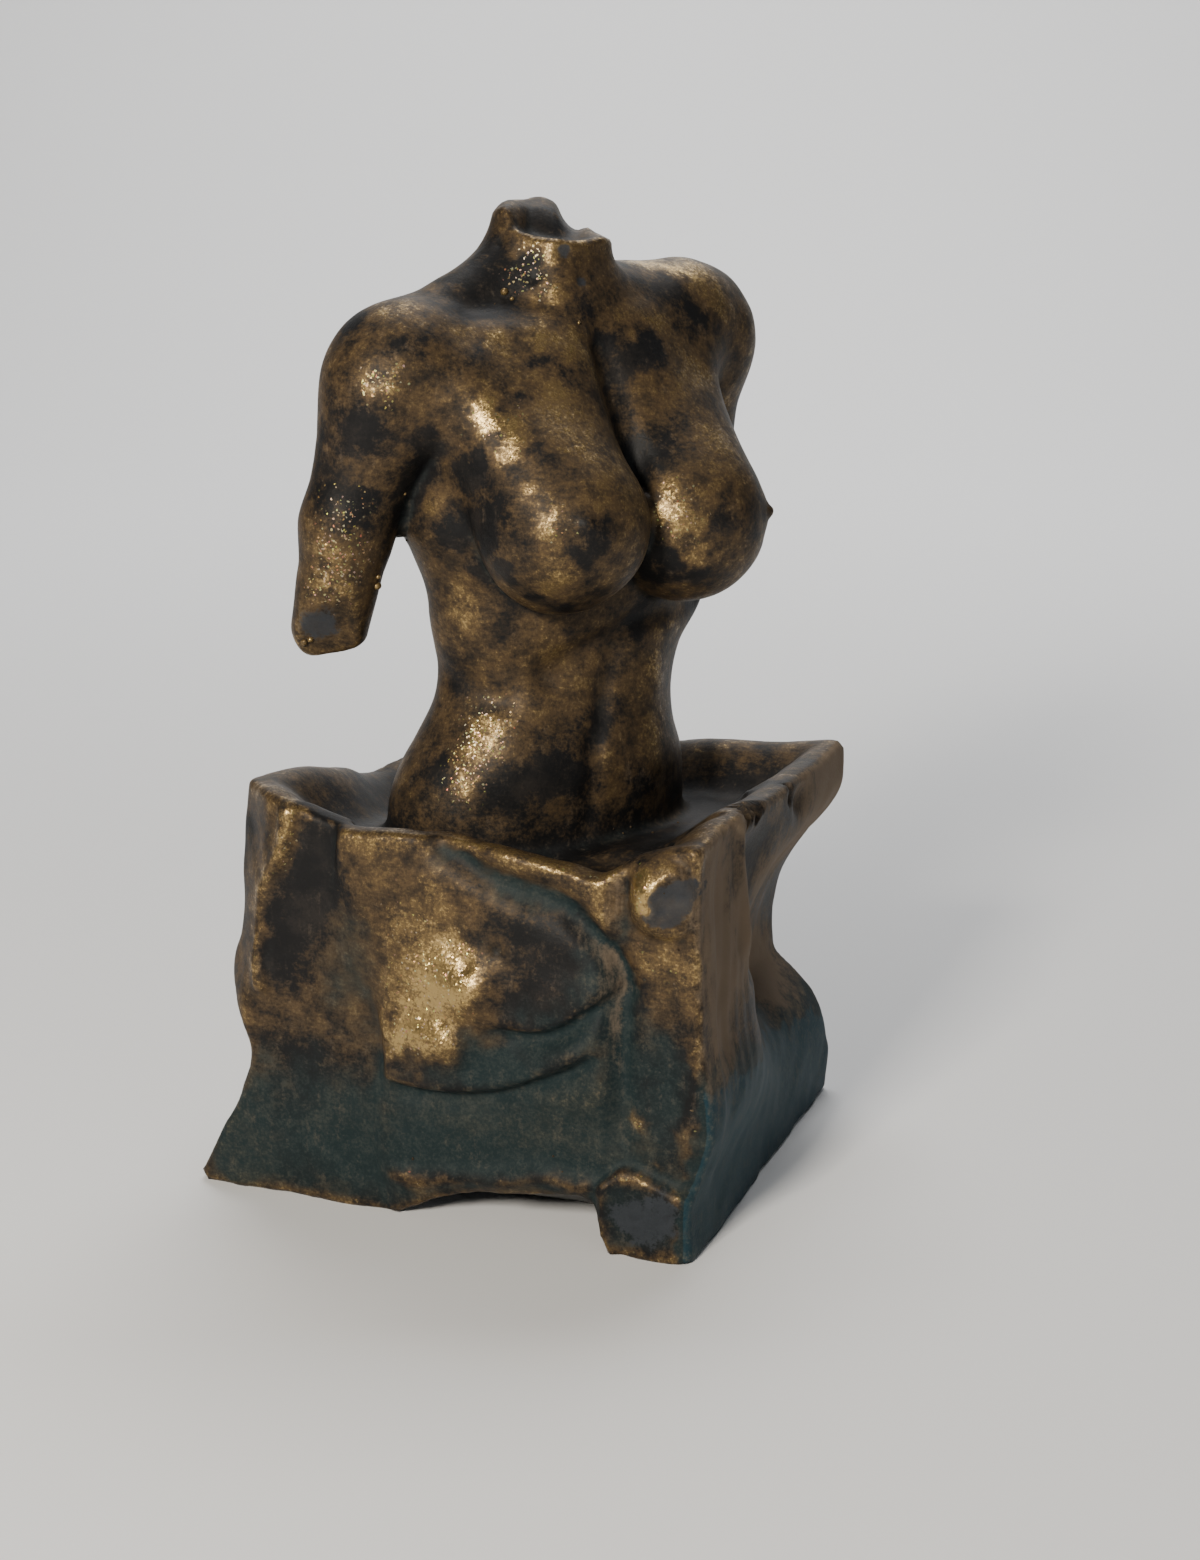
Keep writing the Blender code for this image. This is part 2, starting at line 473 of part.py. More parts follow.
def clay_blank():
    """The rough masses in one mesh, which the Remesh modifier turns into one skin."""
    mesh = bmesh.new()
    for vertex in bmesh.ops.create_cube(mesh, size=1.0)["verts"]:
        toe = 8 * UNIT if vertex.co.x < 0 and vertex.co.z < 0 else 0.0
        vertex.co.x = vertex.co.x * (BLOCK_WIDTH + 8 * UNIT) - toe
        vertex.co.y *= BLOCK_DEPTH
        vertex.co.z = -UNDER_CUT if vertex.co.z < 0 else BLOCK_HEIGHT - BASIN_DEPTH
    for height in range(-8, 42, 3):
        half_width = float(along(TRUNK_HALF_WIDTH, np.array([height]))[0])
        front = float(along(TRUNK_FRONT, np.array([height]))[0])
        add_ball(mesh, (0, 0, height), (half_width, front, 4.0))
    for side in (-1, 1):
        lift = SHOULDER_LIFT[side]
        add_ball(mesh, BREAST_CENTRE[side], (7.2, 7.2, 7.3))
        add_ball(mesh, (side * 6.6, -6.4, 31.0), (6.4, 4.6, 9.0))
        add_ball(mesh, (side * 16.6, 1.6, 36.6 + lift), (5.4, 5.6, 6.4))
        add_ball(mesh, (side * 10, 2.0, 40.0 + lift / 2), (9.0, 4.6, 4.0))
    for step in range(7):
        share = step / 6
        add_ball(mesh, (-16.6 - 4.2 * share, 1.4 + 3.2 * share, 37 - 20 * share), (4.6 - 1.4 * share,) * 2 + (4.2,))
        add_ball(mesh, (18.2 + 0.6 * share, 2.8 + 3.8 * share, 40 - 18 * share), (4.6 - 0.7 * share,) * 2 + (4.2,))
        add_ball(mesh, (0.3, 0.5, 40 + 9 * share), (5.2, 5.2, 3.0))
    data = bpy.data.meshes.new("clay")
    mesh.to_mesh(data)
    mesh.free()
    return data


def modified(data, kind, **settings):
    """A new mesh: the old one after one modifier."""
    carrier = bpy.data.objects.new("clay", data)
    bpy.context.scene.collection.objects.link(carrier)
    modifier = carrier.modifiers.new("tool", kind)
    for name, value in settings.items():
        setattr(modifier, name, value)
    graph = bpy.context.evaluated_depsgraph_get()
    skin = bpy.data.meshes.new_from_object(carrier.evaluated_get(graph))
    bpy.data.objects.remove(carrier)
    bpy.data.meshes.remove(data)
    return skin


def settle(data):
    """Moves every point of the skin onto the finished form, down the distance's own slope."""
    count = len(data.vertices)
    places = np.empty(count * 3)
    data.vertices.foreach_get("co", places)
    places = places.reshape(-1, 3)
    edges = np.empty(len(data.edges) * 2, int)
    data.edges.foreach_get("vertices", edges)
    edges = edges.reshape(-1, 2)
    neighbours = np.bincount(edges.ravel(), minlength=count)[:, None]
    probe = VOXEL / 30
    for turn in range(SETTLING_ROUNDS):
        distance = muse(places)
        slope = np.stack([(muse(places + probe * axis) - distance) / probe for axis in np.eye(3)], 1)
        steep = np.maximum((slope**2).sum(1, keepdims=True), 0.2)
        move = -distance[:, None] * slope / steep
        length = np.linalg.norm(move, axis=1, keepdims=True)
        places = places + move * np.minimum(1.0, 3 * VOXEL / np.maximum(length, 1e-12))
        if turn < SETTLING_ROUNDS - 1:
            total = np.zeros_like(places)
            for corner in range(3):
                total[:, corner] = np.bincount(edges[:, 0], places[edges[:, 1], corner], count)
                total[:, corner] += np.bincount(edges[:, 1], places[edges[:, 0], corner], count)
            drift = total / neighbours - places
            normal = slope / np.sqrt(steep)
            keep = min(1.0, 0.5 * turn)
            places = places + 0.5 * (drift - keep * (drift * normal).sum(1, keepdims=True) * normal)
    data.vertices.foreach_set("co", places.ravel())
    data.update()


def cut_flat(data):
    """Cuts the casting off flat at the table and closes it there."""
    mesh = bmesh.new()
    mesh.from_mesh(data)
    whole = mesh.verts[:] + mesh.edges[:] + mesh.faces[:]
    cut = bmesh.ops.bisect_plane(
        mesh, geom=whole, dist=1e-6, plane_co=(0, 0, 0), plane_no=(0, 0, -1), clear_outer=True
    )["geom_cut"]
    rim = [item for item in cut if isinstance(item, bmesh.types.BMEdge)]
    bmesh.ops.edgenet_fill(mesh, edges=rim)
    bmesh.ops.triangulate(mesh, faces=mesh.faces[:])
    bmesh.ops.recalc_face_normals(mesh, faces=mesh.faces[:])
    mesh.to_mesh(data)
    mesh.free()


def patina():
    """Dark bronze patina with rubbed gold."""
    material = bpy.data.materials.new("bronze_patina")
    material.use_nodes = True
    shader = material.node_tree.nodes["Principled BSDF"]
    shader.inputs["Base Color"].default_value = (0.10, 0.07, 0.04, 1.0)
    shader.inputs["Roughness"].default_value = 0.38
    shader.inputs["Metallic"].default_value = 0.85
    return material


def triangles(data):
    """How many triangles a mesh has."""
    return sum(len(polygon.vertices) - 2 for polygon in data.polygons)


def main():
    for existing in list(bpy.data.objects):
        bpy.data.objects.remove(existing)
    skin = clay_blank()
    for voxel in (1.6 * VOXEL, VOXEL):
        skin = modified(skin, "REMESH", mode="VOXEL", voxel_size=voxel)
        settle(skin)
    skin = modified(skin, "SMOOTH", factor=0.5, iterations=2)
    cut_flat(skin)
    skin = modified(skin, "DECIMATE", ratio=MOST_TRIANGLES / triangles(skin), use_collapse_triangulate=True)
    skin.name = "muse_bust"
    muse_object = bpy.data.objects.new("muse_bust", skin)
    skin.materials.append(patina())
    skin.shade_smooth()
    collection = bpy.data.collections.new("Muse bust")
    bpy.context.scene.collection.children.link(collection)
    collection.objects.link(muse_object)
    print("triangles", triangles(skin), "size", [round(side, 4) for side in muse_object.dimensions])


main()
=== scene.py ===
# %% [markdown]
# # A small cast figure with a rubbed bronze finish
#
# The object is a desk figure about 18 cm high: a torso with broken-off neck and arms that rises out of a
# rough block. Torso and block were cast together, so here they are one skin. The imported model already
# holds the form at a coarse grain. This script works that form again finely, as a finisher does with
# rasp and wire, and then lays on the patina.

import math

import bmesh
import bpy
import numpy as np
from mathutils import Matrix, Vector


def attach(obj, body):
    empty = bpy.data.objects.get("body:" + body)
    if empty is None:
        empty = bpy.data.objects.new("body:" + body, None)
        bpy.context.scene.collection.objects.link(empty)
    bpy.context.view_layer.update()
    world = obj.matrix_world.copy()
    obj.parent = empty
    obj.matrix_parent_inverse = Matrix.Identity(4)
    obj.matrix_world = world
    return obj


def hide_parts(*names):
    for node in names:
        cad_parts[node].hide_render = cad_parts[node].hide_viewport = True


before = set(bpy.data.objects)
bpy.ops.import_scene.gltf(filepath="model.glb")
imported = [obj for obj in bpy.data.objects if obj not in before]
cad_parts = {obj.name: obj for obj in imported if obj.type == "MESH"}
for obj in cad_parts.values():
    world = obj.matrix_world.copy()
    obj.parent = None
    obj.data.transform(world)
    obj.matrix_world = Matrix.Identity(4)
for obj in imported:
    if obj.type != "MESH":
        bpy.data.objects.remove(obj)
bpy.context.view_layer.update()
MM = 0.001
NODE = "muse_bust"

# %% [markdown]
# ## Camera, floor and light
#
# A photograph can be matched by guessing a lens, but it is better worked out: the block has nearly
# square corners, and how its upright and level edges draw together gives the focal length, the tilt and
# the distance. The values below are those of a short telephoto about 44 cm away, looking down by 14
# degrees at the block's right front corner.

# %% The camera
PICTURE_HEIGHT = 1560
FOCAL_PIXELS = 2300
SENSOR = 36.0
CAMERA_PLACE = (160.05 * MM, -392.74 * MM, 179.26 * MM)
CAMERA_TILT = math.radians(14.16)
CAMERA_TURN = math.radians(21.08)


def add_camera():
    """The camera at the photograph's viewing angle."""
    data = bpy.data.cameras.new("camera")
    data.sensor_width = SENSOR
    data.lens = FOCAL_PIXELS / PICTURE_HEIGHT * SENSOR
    data.clip_start = 10 * MM
    camera = bpy.data.objects.new("camera", data)
    camera.location = CAMERA_PLACE
    camera.rotation_euler = (math.pi / 2 - CAMERA_TILT, 0, CAMERA_TURN)
    bpy.context.scene.collection.objects.link(camera)
    bpy.context.scene.camera = camera
    return camera


print("camera lens in mm:", round(add_camera().data.lens, 2))

# %% [markdown]
# A rubbed metal finish shows only what it reflects. One fairly small soft light, high on the left beside
# the camera, gives the short bright glints on whatever faces it. A weak fill from the right keeps the
# rest deep but readable, as in the photograph, and a third light only washes the backdrop. The floor is
# a plain pale sheet that curves up behind.

# %% The floor and the lights
FLOOR_REACH = 1.6
FLOOR_HALF_WIDTH = 2.4
FLOOR_CURVE = 0.5
CURVE_STEPS = 16
BACKDROP_HEIGHT = 2.2


def add_floor():
    """A pale sheet that lies flat under the object and sweeps up behind it."""
    mesh = bmesh.new()
    profile = [(-FLOOR_REACH, 0.0), (FLOOR_REACH - FLOOR_CURVE, 0.0)]
    for step in range(1, CURVE_STEPS + 1):
        angle = math.pi / 2 * step / CURVE_STEPS
        away = FLOOR_REACH - FLOOR_CURVE + FLOOR_CURVE * math.sin(angle)
        profile.append((away, FLOOR_CURVE * (1 - math.cos(angle))))
    profile.append((FLOOR_REACH, BACKDROP_HEIGHT))
    cosine, sine = math.cos(CAMERA_TURN), math.sin(CAMERA_TURN)
    rows = []
    for away, height in profile:
        ends = []
        for across in (-FLOOR_HALF_WIDTH, FLOOR_HALF_WIDTH):
            place = (across * cosine - away * sine, across * sine + away * cosine, height)
            ends.append(mesh.verts.new(place))
        rows.append(ends)
    for near, far in zip(rows, rows[1:]):
        mesh.faces.new((near[0], near[1], far[1], far[0])).smooth = True
    data = bpy.data.meshes.new("floor")
    mesh.to_mesh(data)
    mesh.free()
    floor = bpy.data.objects.new("floor", data)
    bpy.context.scene.collection.objects.link(floor)
    material = bpy.data.materials.new("pale_floor")
    material.use_nodes = True
    shader = material.node_tree.nodes["Principled BSDF"]
    shader.inputs["Base Color"].default_value = (0.80, 0.80, 0.80, 1)
    shader.inputs["Roughness"].default_value = 0.9
    shader.inputs["Specular IOR Level"].default_value = 0.1
    data.materials.append(material)
    return floor


FIGURE_MIDDLE = (0, 0, 100 * MM)
LIGHTS = {
    "key": ((-0.04, -0.75, 0.43), FIGURE_MIDDLE, 0.14, 8.5, (1.0, 0.93, 0.82)),
    "fill": ((0.90, -0.60, 0.45), FIGURE_MIDDLE, 0.6, 0.9, (0.90, 0.95, 1.0)),
    "backdrop_wash": ((-0.15, 0.75, 1.5), (-0.55, 1.5, 0.35), 1.0, 30.0, (1, 1, 1)),
}
ROOM_COLOUR = (0.55, 0.60, 0.68, 1)
ROOM_STRENGTH = 0.07


def add_light(name, place, aim, size, power, colour):
    """A square soft light at a place, turned towards a point."""
    data = bpy.data.lights.new(name, "AREA")
    data.size = size
    data.energy = power
    data.color = colour
    light = bpy.data.objects.new(name, data)
    light.location = place
    light.rotation_euler = (Vector(aim) - Vector(place)).to_track_quat("-Z", "Y").to_euler()
    bpy.context.scene.collection.objects.link(light)
    return light


add_floor()
for name, settings in LIGHTS.items():
    add_light(name, *settings)
world = bpy.data.worlds.new("studio")
world.use_nodes = True
world.node_tree.nodes["Background"].inputs["Color"].default_value = ROOM_COLOUR
world.node_tree.nodes["Background"].inputs["Strength"].default_value = ROOM_STRENGTH
bpy.context.scene.world = world

# %% [markdown]
# ## How the form is described
#
# A sculpted body could be modelled by pushing a mesh about, but every crease would then be a list of
# points. Here the form is a signed distance instead: a function that says how far any point is from the
# surface, below zero inside. Masses are joined with `union`, which leaves a fillet, cut with `common`,
# and a `groove` lowers the surface along a path. A skin of small faces is then settled onto it.

# %% Curves and joins


def steps_between(low, high, values):
    """0 at low, 1 at high, and a smooth step between them. low may be the higher one."""
    share = np.clip((values - low) / (high - low), 0.0, 1.0)
    return share * share * (3.0 - 2.0 * share)


def along(knots, values):
    """A smooth curve through (place, amount) knots, read at values."""
    places = np.array([knot[0] for knot in knots], float)
    amounts = np.array([knot[1] for knot in knots], float)
    slopes = np.gradient(amounts, places)
    values = np.clip(values, places[0], places[-1])
    index = np.clip(np.searchsorted(places, values) - 1, 0, len(places) - 2)
    span = places[index + 1] - places[index]
    share = (values - places[index]) / span
    square, cube = share**2, share**3
    return (
        (2 * cube - 3 * square + 1) * amounts[index]
        + (cube - 2 * square + share) * span * slopes[index]
        + (3 * square - 2 * cube) * amounts[index + 1]
        + (cube - square) * span * slopes[index + 1]
    )


def union(one, other, blend):
    """Both masses, with a fillet where they meet. blend is the fillet's reach."""
    share = np.clip(0.5 + 0.5 * (other - one) / blend, 0.0, 1.0)
    return other + (one - other) * share - blend * share * (1.0 - share)


def common(one, other, blend):
    """What both masses share, with its new edge rounded."""
    return -union(-one, -other, blend)


print("a step half way:", float(steps_between(0.0, 1.0, np.array([0.5]))[0]))

# %% Round masses, limbs and grooves


def ellipsoid(points, centre, radii, lean=0.0):
    """Distance to an ellipsoid. lean tips its top backwards, in radians."""
    local = points - np.array(centre)
    if lean:
        turned = local.copy()
        turned[:, 1] = local[:, 1] * math.cos(lean) - local[:, 2] * math.sin(lean)
        turned[:, 2] = local[:, 1] * math.sin(lean) + local[:, 2] * math.cos(lean)
        local = turned
    scaled = local / np.array(radii)
    level = np.linalg.norm(scaled, axis=1)
    steepness = np.linalg.norm(scaled / np.array(radii), axis=1)
    return level * (level - 1.0) / np.maximum(steepness, 1e-9)


def limb(points, start, end, start_radius, end_radius):
    """Distance to a tapering limb: a ball at each end and the straight cone that touches both."""
    start, end = np.array(start, float), np.array(end, float)
    length = np.linalg.norm(end - start)
    lean = (start_radius - end_radius) / length
    upright = math.sqrt(1 - lean * lean)
    from_start = points - start
    up = from_start @ (end - start) / length
    out = np.sqrt(np.maximum((from_start**2).sum(1) - up * up, 0.0))
    place = upright * up - lean * out
    first_ball = np.sqrt(out * out + up * up) - start_radius
    last_ball = np.sqrt(out * out + (up - length) ** 2) - end_radius
    cone = upright * out + lean * up - start_radius
    return np.where(place < 0, first_ball, np.where(place > upright * length, last_ball, cone))


def path_distance(points, path):
    """Distance to a path of straight stretches."""
    nearest = np.full(len(points), np.inf)
    for start, end in zip(path, path[1:]):
        nearest = np.minimum(nearest, limb(points, start, end, 0.0, 0.0))
    return nearest


def groove(points, path, width, depth):
    """How far a rounded groove along a path lowers the surface. A negative depth raises a ridge."""
    return depth * np.exp(-((path_distance(points, path) / width) ** 2))


def swelling(points, centre, radius, height):
    """How far a soft round swelling raises the surface, as a negative distance."""
    away = np.linalg.norm(points - np.array(centre), axis=1)
    return -height * np.exp(-((away / radius) ** 2))


print("a unit ball at its pole:", float(ellipsoid(np.array([[0.0, 0.0, 1.0]]), (0, 0, 0), (1, 1, 1))[0]))

# %% [markdown]
# ## The figure
#
# The body is set out in life centimetres, from the block's rim up, because proportions are easier to
# judge at that size: a waist 24 wide, a chest 31 wide. It stands in its own frame, with x to her left
# and y to her back, and is turned on the block afterwards, the chest a little further than the hips.

# %% The figure's sizes
BLOCK_HEIGHT = 75 * MM
FIGURE_HEIGHT = 104.5 * MM
LIFE = FIGURE_HEIGHT / 52.2
FIGURE_PLACE = np.array([-1.4 * MM, 1.8 * MM, BLOCK_HEIGHT])
HIP_TURN = math.radians(53)
CHEST_TURN = math.radians(59)
JOIN_ROUND = 3 * MM

TRUNK_TOP = 45.0
TRUNK_HALF_WIDTH = [
    (-8, 15.0), (-1.5, 15.0), (1, 14.4), (4, 13.0), (7.5, 12.1), (10.5, 12.4), (14.5, 14.2), (19.5, 15.5),
    (25, 15.9), (30, 15.9), (35, 15.0), (38.5, 13.0), (41.5, 9.5), (44, 5.5), (46, 4.2),
]
TRUNK_FRONT = [
    (-8, 9.6), (-1.5, 10.2), (4, 9.8), (7.5, 8.9), (10.5, 8.4), (14.5, 9.0), (19.5, 9.8), (25, 10.2),
    (30, 10.0), (35, 8.8), (38.5, 7.2), (41.5, 5.5), (44, 4.4), (46, 4.2),
]
TRUNK_BACK = [
    (-8, 9.0), (-1.5, 9.5), (4, 8.6), (7.5, 7.6), (10.5, 7.4), (14.5, 8.2), (19.5, 9.4), (25, 10.2),
    (30, 10.4), (35, 9.6), (38.5, 8.2), (41.5, 6.4), (44, 5.0), (46, 4.6),
]
TRUNK_SHIFT = [
    (-8, -2.0), (-1.5, -1.7), (4, -0.9), (8, 0.0), (12, 0.8), (15, 1.6), (18.6, 1.9), (21.2, 1.2),
    (23.4, 0.2), (26, 0.2), (30, 0.2), (46, 0.0),
]


def trunk(points):
    """Distance to the trunk from hips to the root of the neck."""
    height = points[:, 2]
    half_width = along(TRUNK_HALF_WIDTH, height)
    front, back = along(TRUNK_FRONT, height), along(TRUNK_BACK, height)
    across = points[:, 0] - along(TRUNK_SHIFT, height)
    depth = front + (back - front) * steps_between(-3.0, 3.0, points[:, 1])
    scaled_x, scaled_y = across / half_width, points[:, 1] / depth
    level = np.sqrt(scaled_x**2 + scaled_y**2)
    steepness = np.sqrt((scaled_x / half_width) ** 2 + (scaled_y / depth) ** 2)
    body = level * (level - 1.0) / np.maximum(steepness, 1e-9)
    return common(body, height - TRUNK_TOP, 2.0)


print("one life centimetre is", round(LIFE * 1000, 3), "mm here")

# %% [markdown]
# Each breast is a heavy ball hung from two long tapers, one from the collar bone and one from the armpit.
# The fillet between them and the chest is wide at the top and nearly nothing below, which gives the
# sharp dark crease underneath.

# %% The breasts
BREAST_CENTRE = {-1: (-6.5, -10.1, 24.4), 1: (7.3, -10.0, 24.0)}
BREAST_RADIUS = 7.05
TAPER_START_RADIUS = 3.2
AREOLA_RADIUS = 1.5
NIPPLE_AIM = {-1: (-0.36, -0.92, 0.14), 1: (0.74, -0.67, 0.08)}
COLLAR_START = {-1: (-4.6, -5.4, 36.5), 1: (5.6, -3.4, 37.5)}
ARMPIT_START = {-1: (-12.2, -4.4, 35.0), 1: (12.6, -2.6, 36.5)}


def breast(points, side):
    """Distance to one breast. side is -1 for her right and 1 for her left."""
    centre = np.array(BREAST_CENTRE[side])
    inner = limb(points, COLLAR_START[side], centre, TAPER_START_RADIUS, BREAST_RADIUS)
    outer = limb(points, ARMPIT_START[side], centre, TAPER_START_RADIUS, BREAST_RADIUS)
    form = union(inner, outer, 2.5)
    aim = np.array(NIPPLE_AIM[side])
    areola = ellipsoid(points, centre + 6.0 * aim, [AREOLA_RADIUS] * 3)
    knob = limb(points, centre + 6.8 * aim, centre + 7.75 * aim, 0.66, 0.6)
    return union(union(form, areola, 1.2), knob, 0.4)


def bust(points, form):
    """The form with both breasts joined to it."""
    for side in (-1, 1):
        softness = 0.5 + 3.0 * steps_between(22.0, 32.0, points[:, 2])
        form = union(form, breast(points, side), softness)
    return form


print("breast centres:", BREAST_CENTRE)

# %% [markdown]
# The arms are stumps. Her right one hangs a little away from the waist and ends in a blunt broken
# cone with a flat scar towards the front. Her left one is drawn back and cut short.

# %% Shoulders and arms
SHOULDER_LIFT = {-1: 0.0, 1: 2.8}
SHOULDER = {-1: ((-16.2, 1.4, 36.4), (5.6, 5.8, 6.6)), 1: ((18.9, 2.4, 39.4), (5.6, 5.8, 6.8))}
ARM_TOP = {-1: (-16.8, 1.4, 35.5), 1: (19.2, 2.6, 39.0)}
ARM_END = {-1: (-21.2, 4.8, 15.0), 1: (20.6, 5.6, 20.0)}
ARM_BEND = (-20.0, 3.8, 24.0)
STUMP_CUT = {-1: ((-21.0, 4.8, 12.5), (0.22, -0.1, -1.0)), 1: ((20.6, 5.6, 19.6), (0.1, -0.25, -1.0))}
SCAR_PLACE = (-23.3, 3.3, 15.6)
SCAR_FACES = (-0.56, -0.74, -0.38)


def plane(points, place, facing):
    """Distance in front of a plane through a place."""
    facing = np.array(facing, float)
    return (points - np.array(place)) @ (facing / np.linalg.norm(facing))


def arm(points, side):
    """Distance to one shoulder and the stump of its upper arm."""
    shoulder = ellipsoid(points, *SHOULDER[side])
    stump_cut = plane(points, *STUMP_CUT[side])
    if side > 0:
        upper = limb(points, ARM_TOP[side], ARM_END[side], 4.8, 3.8)
        return common(union(upper, shoulder, 2.5), stump_cut, 1.0)
    upper = limb(points, ARM_TOP[side], ARM_BEND, 5.2, 4.0)
    lower = limb(points, ARM_BEND, ARM_END[side], 4.0, 3.5)
    form = common(union(union(upper, lower, 1.5), shoulder, 4.0), stump_cut, 0.6)
    return common(form, plane(points, SCAR_PLACE, SCAR_FACES), 0.3)


print("right arm scar faces", SCAR_FACES)

# %% [markdown]
# The neck is squarer than a living one, with an edge down its right front. Its broken top is low along
# the front, where a ledge runs inside the rim, and a rough wall climbs from there to a peak at the back.

# %% The neck
NECK_TURN = math.radians(13)
NECK_ROOT = 38.0
NECK_HALF_SIDE = 4.65
NECK_FLARE = 1.6
NECK_SQUARENESS = 3.4
NEAR_RIM = [
    (-5.0, 50.2), (-2.6, 49.5), (-1.3, 49.1), (0.2, 48.8), (1.8, 48.6), (3.6, 48.8), (4.5, 49.0),
    (5.5, 48.4),
]
FAR_RIM = [
    (-5.2, 51.2), (-4.6, 51.7), (-2.8, 52.1), (-1.5, 52.3), (-0.3, 52.1), (0.4, 51.6), (1.0, 50.4),
    (1.6, 49.7), (2.4, 49.4), (3.2, 49.7), (3.9, 49.3), (4.9, 48.8),
]


def neck(points):
    """Distance to the neck, a rounded square that widens towards the shoulders."""
    x = points[:, 0] - 0.2
    y = points[:, 1] - 0.3 + 0.03 * (points[:, 2] - 40.0)
    turned_x = x * math.cos(NECK_TURN) + y * math.sin(NECK_TURN)
    turned_y = -x * math.sin(NECK_TURN) + y * math.cos(NECK_TURN)
    section = np.abs(turned_x) ** NECK_SQUARENESS + np.abs(turned_y) ** NECK_SQUARENESS + 1e-9
    half_side = NECK_HALF_SIDE + NECK_FLARE * steps_between(48.0, 42.0, points[:, 2])
    return np.maximum(section ** (1 / NECK_SQUARENESS) - half_side, NECK_ROOT - points[:, 2])


BREAK_PROFILE = [
    (-5.5, 0.0), (-1.6, 0.0), (-0.5, 0.12), (0.4, 0.45), (1.3, 0.70), (2.6, 0.86), (4.2, 1.0), (6, 1.0),
]


def neck_top(points):
    """Height of the broken top of the neck: a ledge inside its near rim, then a wall up to its far rim."""
    to_far = 0.61 * points[:, 0] + 0.79 * points[:, 1]
    across = 0.79 * points[:, 0] - 0.61 * points[:, 1]
    near, far = along(NEAR_RIM, across), along(FAR_RIM, across)
    to_far = to_far + 3.4 * steps_between(-1.8, -4.2, across)
    height = near + (far - near) * along(BREAK_PROFILE, to_far)
    return height - 0.35 * np.exp(-(((to_far + 1.2) / 1.8) ** 2) - ((across + 0.2) / 2.6) ** 2)


print("neck turned by", round(math.degrees(NECK_TURN)), "degrees")

# %% [markdown]
# Last come the valleys that make a trunk a body: breastbone, rib arch, belly line, the fold at the
# waist, the spine and the shoulder blades' edges. Each is a groove along a short path on the surface.
# The collar bones are ridges, made as grooves of negative depth, and a few small dents are cast in.

# %% The whole figure
BODY_CREASES = [
    ([(0, -7.6, 39), (0.3, -10.2, 33), (0.6, -11.6, 28), (0.6, -11.8, 24)], 1.3, 1.1),
    ([(12.6, -6.0, 15.6), (7.5, -8.6, 15.4), (3.5, -9.0, 15.0), (0.1, -8.8, 13.2), (-3.1, -8.4, 12.0),
      (-5.6, -7.6, 10.4)], 1.3, 0.85),
    ([(1.0, -8.4, 12.4), (-0.1, -8.6, 8.6), (-0.8, -9.3, 5.8), (-1.6, -9.8, 4.0)], 0.9, 0.75),
    ([(-1.6, -9.8, 4.0), (-2.4, -10.3, -3)], 1.1, 0.4),
    ([(-12.4, 1.0, 10.2), (-11.8, -0.8, 9.7), (-10.9, -3.5, 9.0), (-9.2, -5.6, 8.1)], 1.3, 0.4),
    ([(0, 11, 38), (0, 9.0, 20), (-1, 8, 8), (-1.6, 9, 4)], 1.7, 1.0),
    ([(-5.5, 8.5, 40.0), (-4.5, 11.0, 33.0), (-5.5, 11.0, 26.0)], 1.5, 0.4),
    ([(5.5, 8.5, 41.0), (4.5, 11.0, 34.0), (5.5, 11.0, 27.0)], 1.5, 0.4),
]
COLLAR_BONES = [
    [(-1.6, -6.0, 41.2), (-6.5, -5.6, 41.0), (-12.5, -2.8, 41.6), (-15.0, -0.5, 42.6)],
    [(2.2, -6.0, 41.4), (8.0, -5.2, 42.0), (14.0, -2.0, 43.8)],
]
BODY_SWELLINGS = [
    ((5.4, -8.2, 9.4), 3.0, 0.75), ((4.6, -9.6, 2.2), 4.0, 0.6), ((-9.5, -6.8, 4.2), 4.0, 0.6),
    ((-6.5, -7.4, 15.0), 4.0, 0.35), ((-7.5, -6.0, 37.0), 4.0, 0.35),
]
DENTS = [
    ((-2.2, -4.9, 47.7), 0.62, 0.40), ((-0.8, -5.6, 45.1), 0.50, 0.45), ((-4.6, -3.5, 45.5), 0.40, 0.5),
    ((-5.4, 0.3, 48.4), 0.45, 0.3), ((-2.1, -7.8, 39.9), 0.45, 0.3), ((-17.0, -4.6, 38.0), 0.45, 0.2),
]
BARE_DENTS = DENTS[:2]


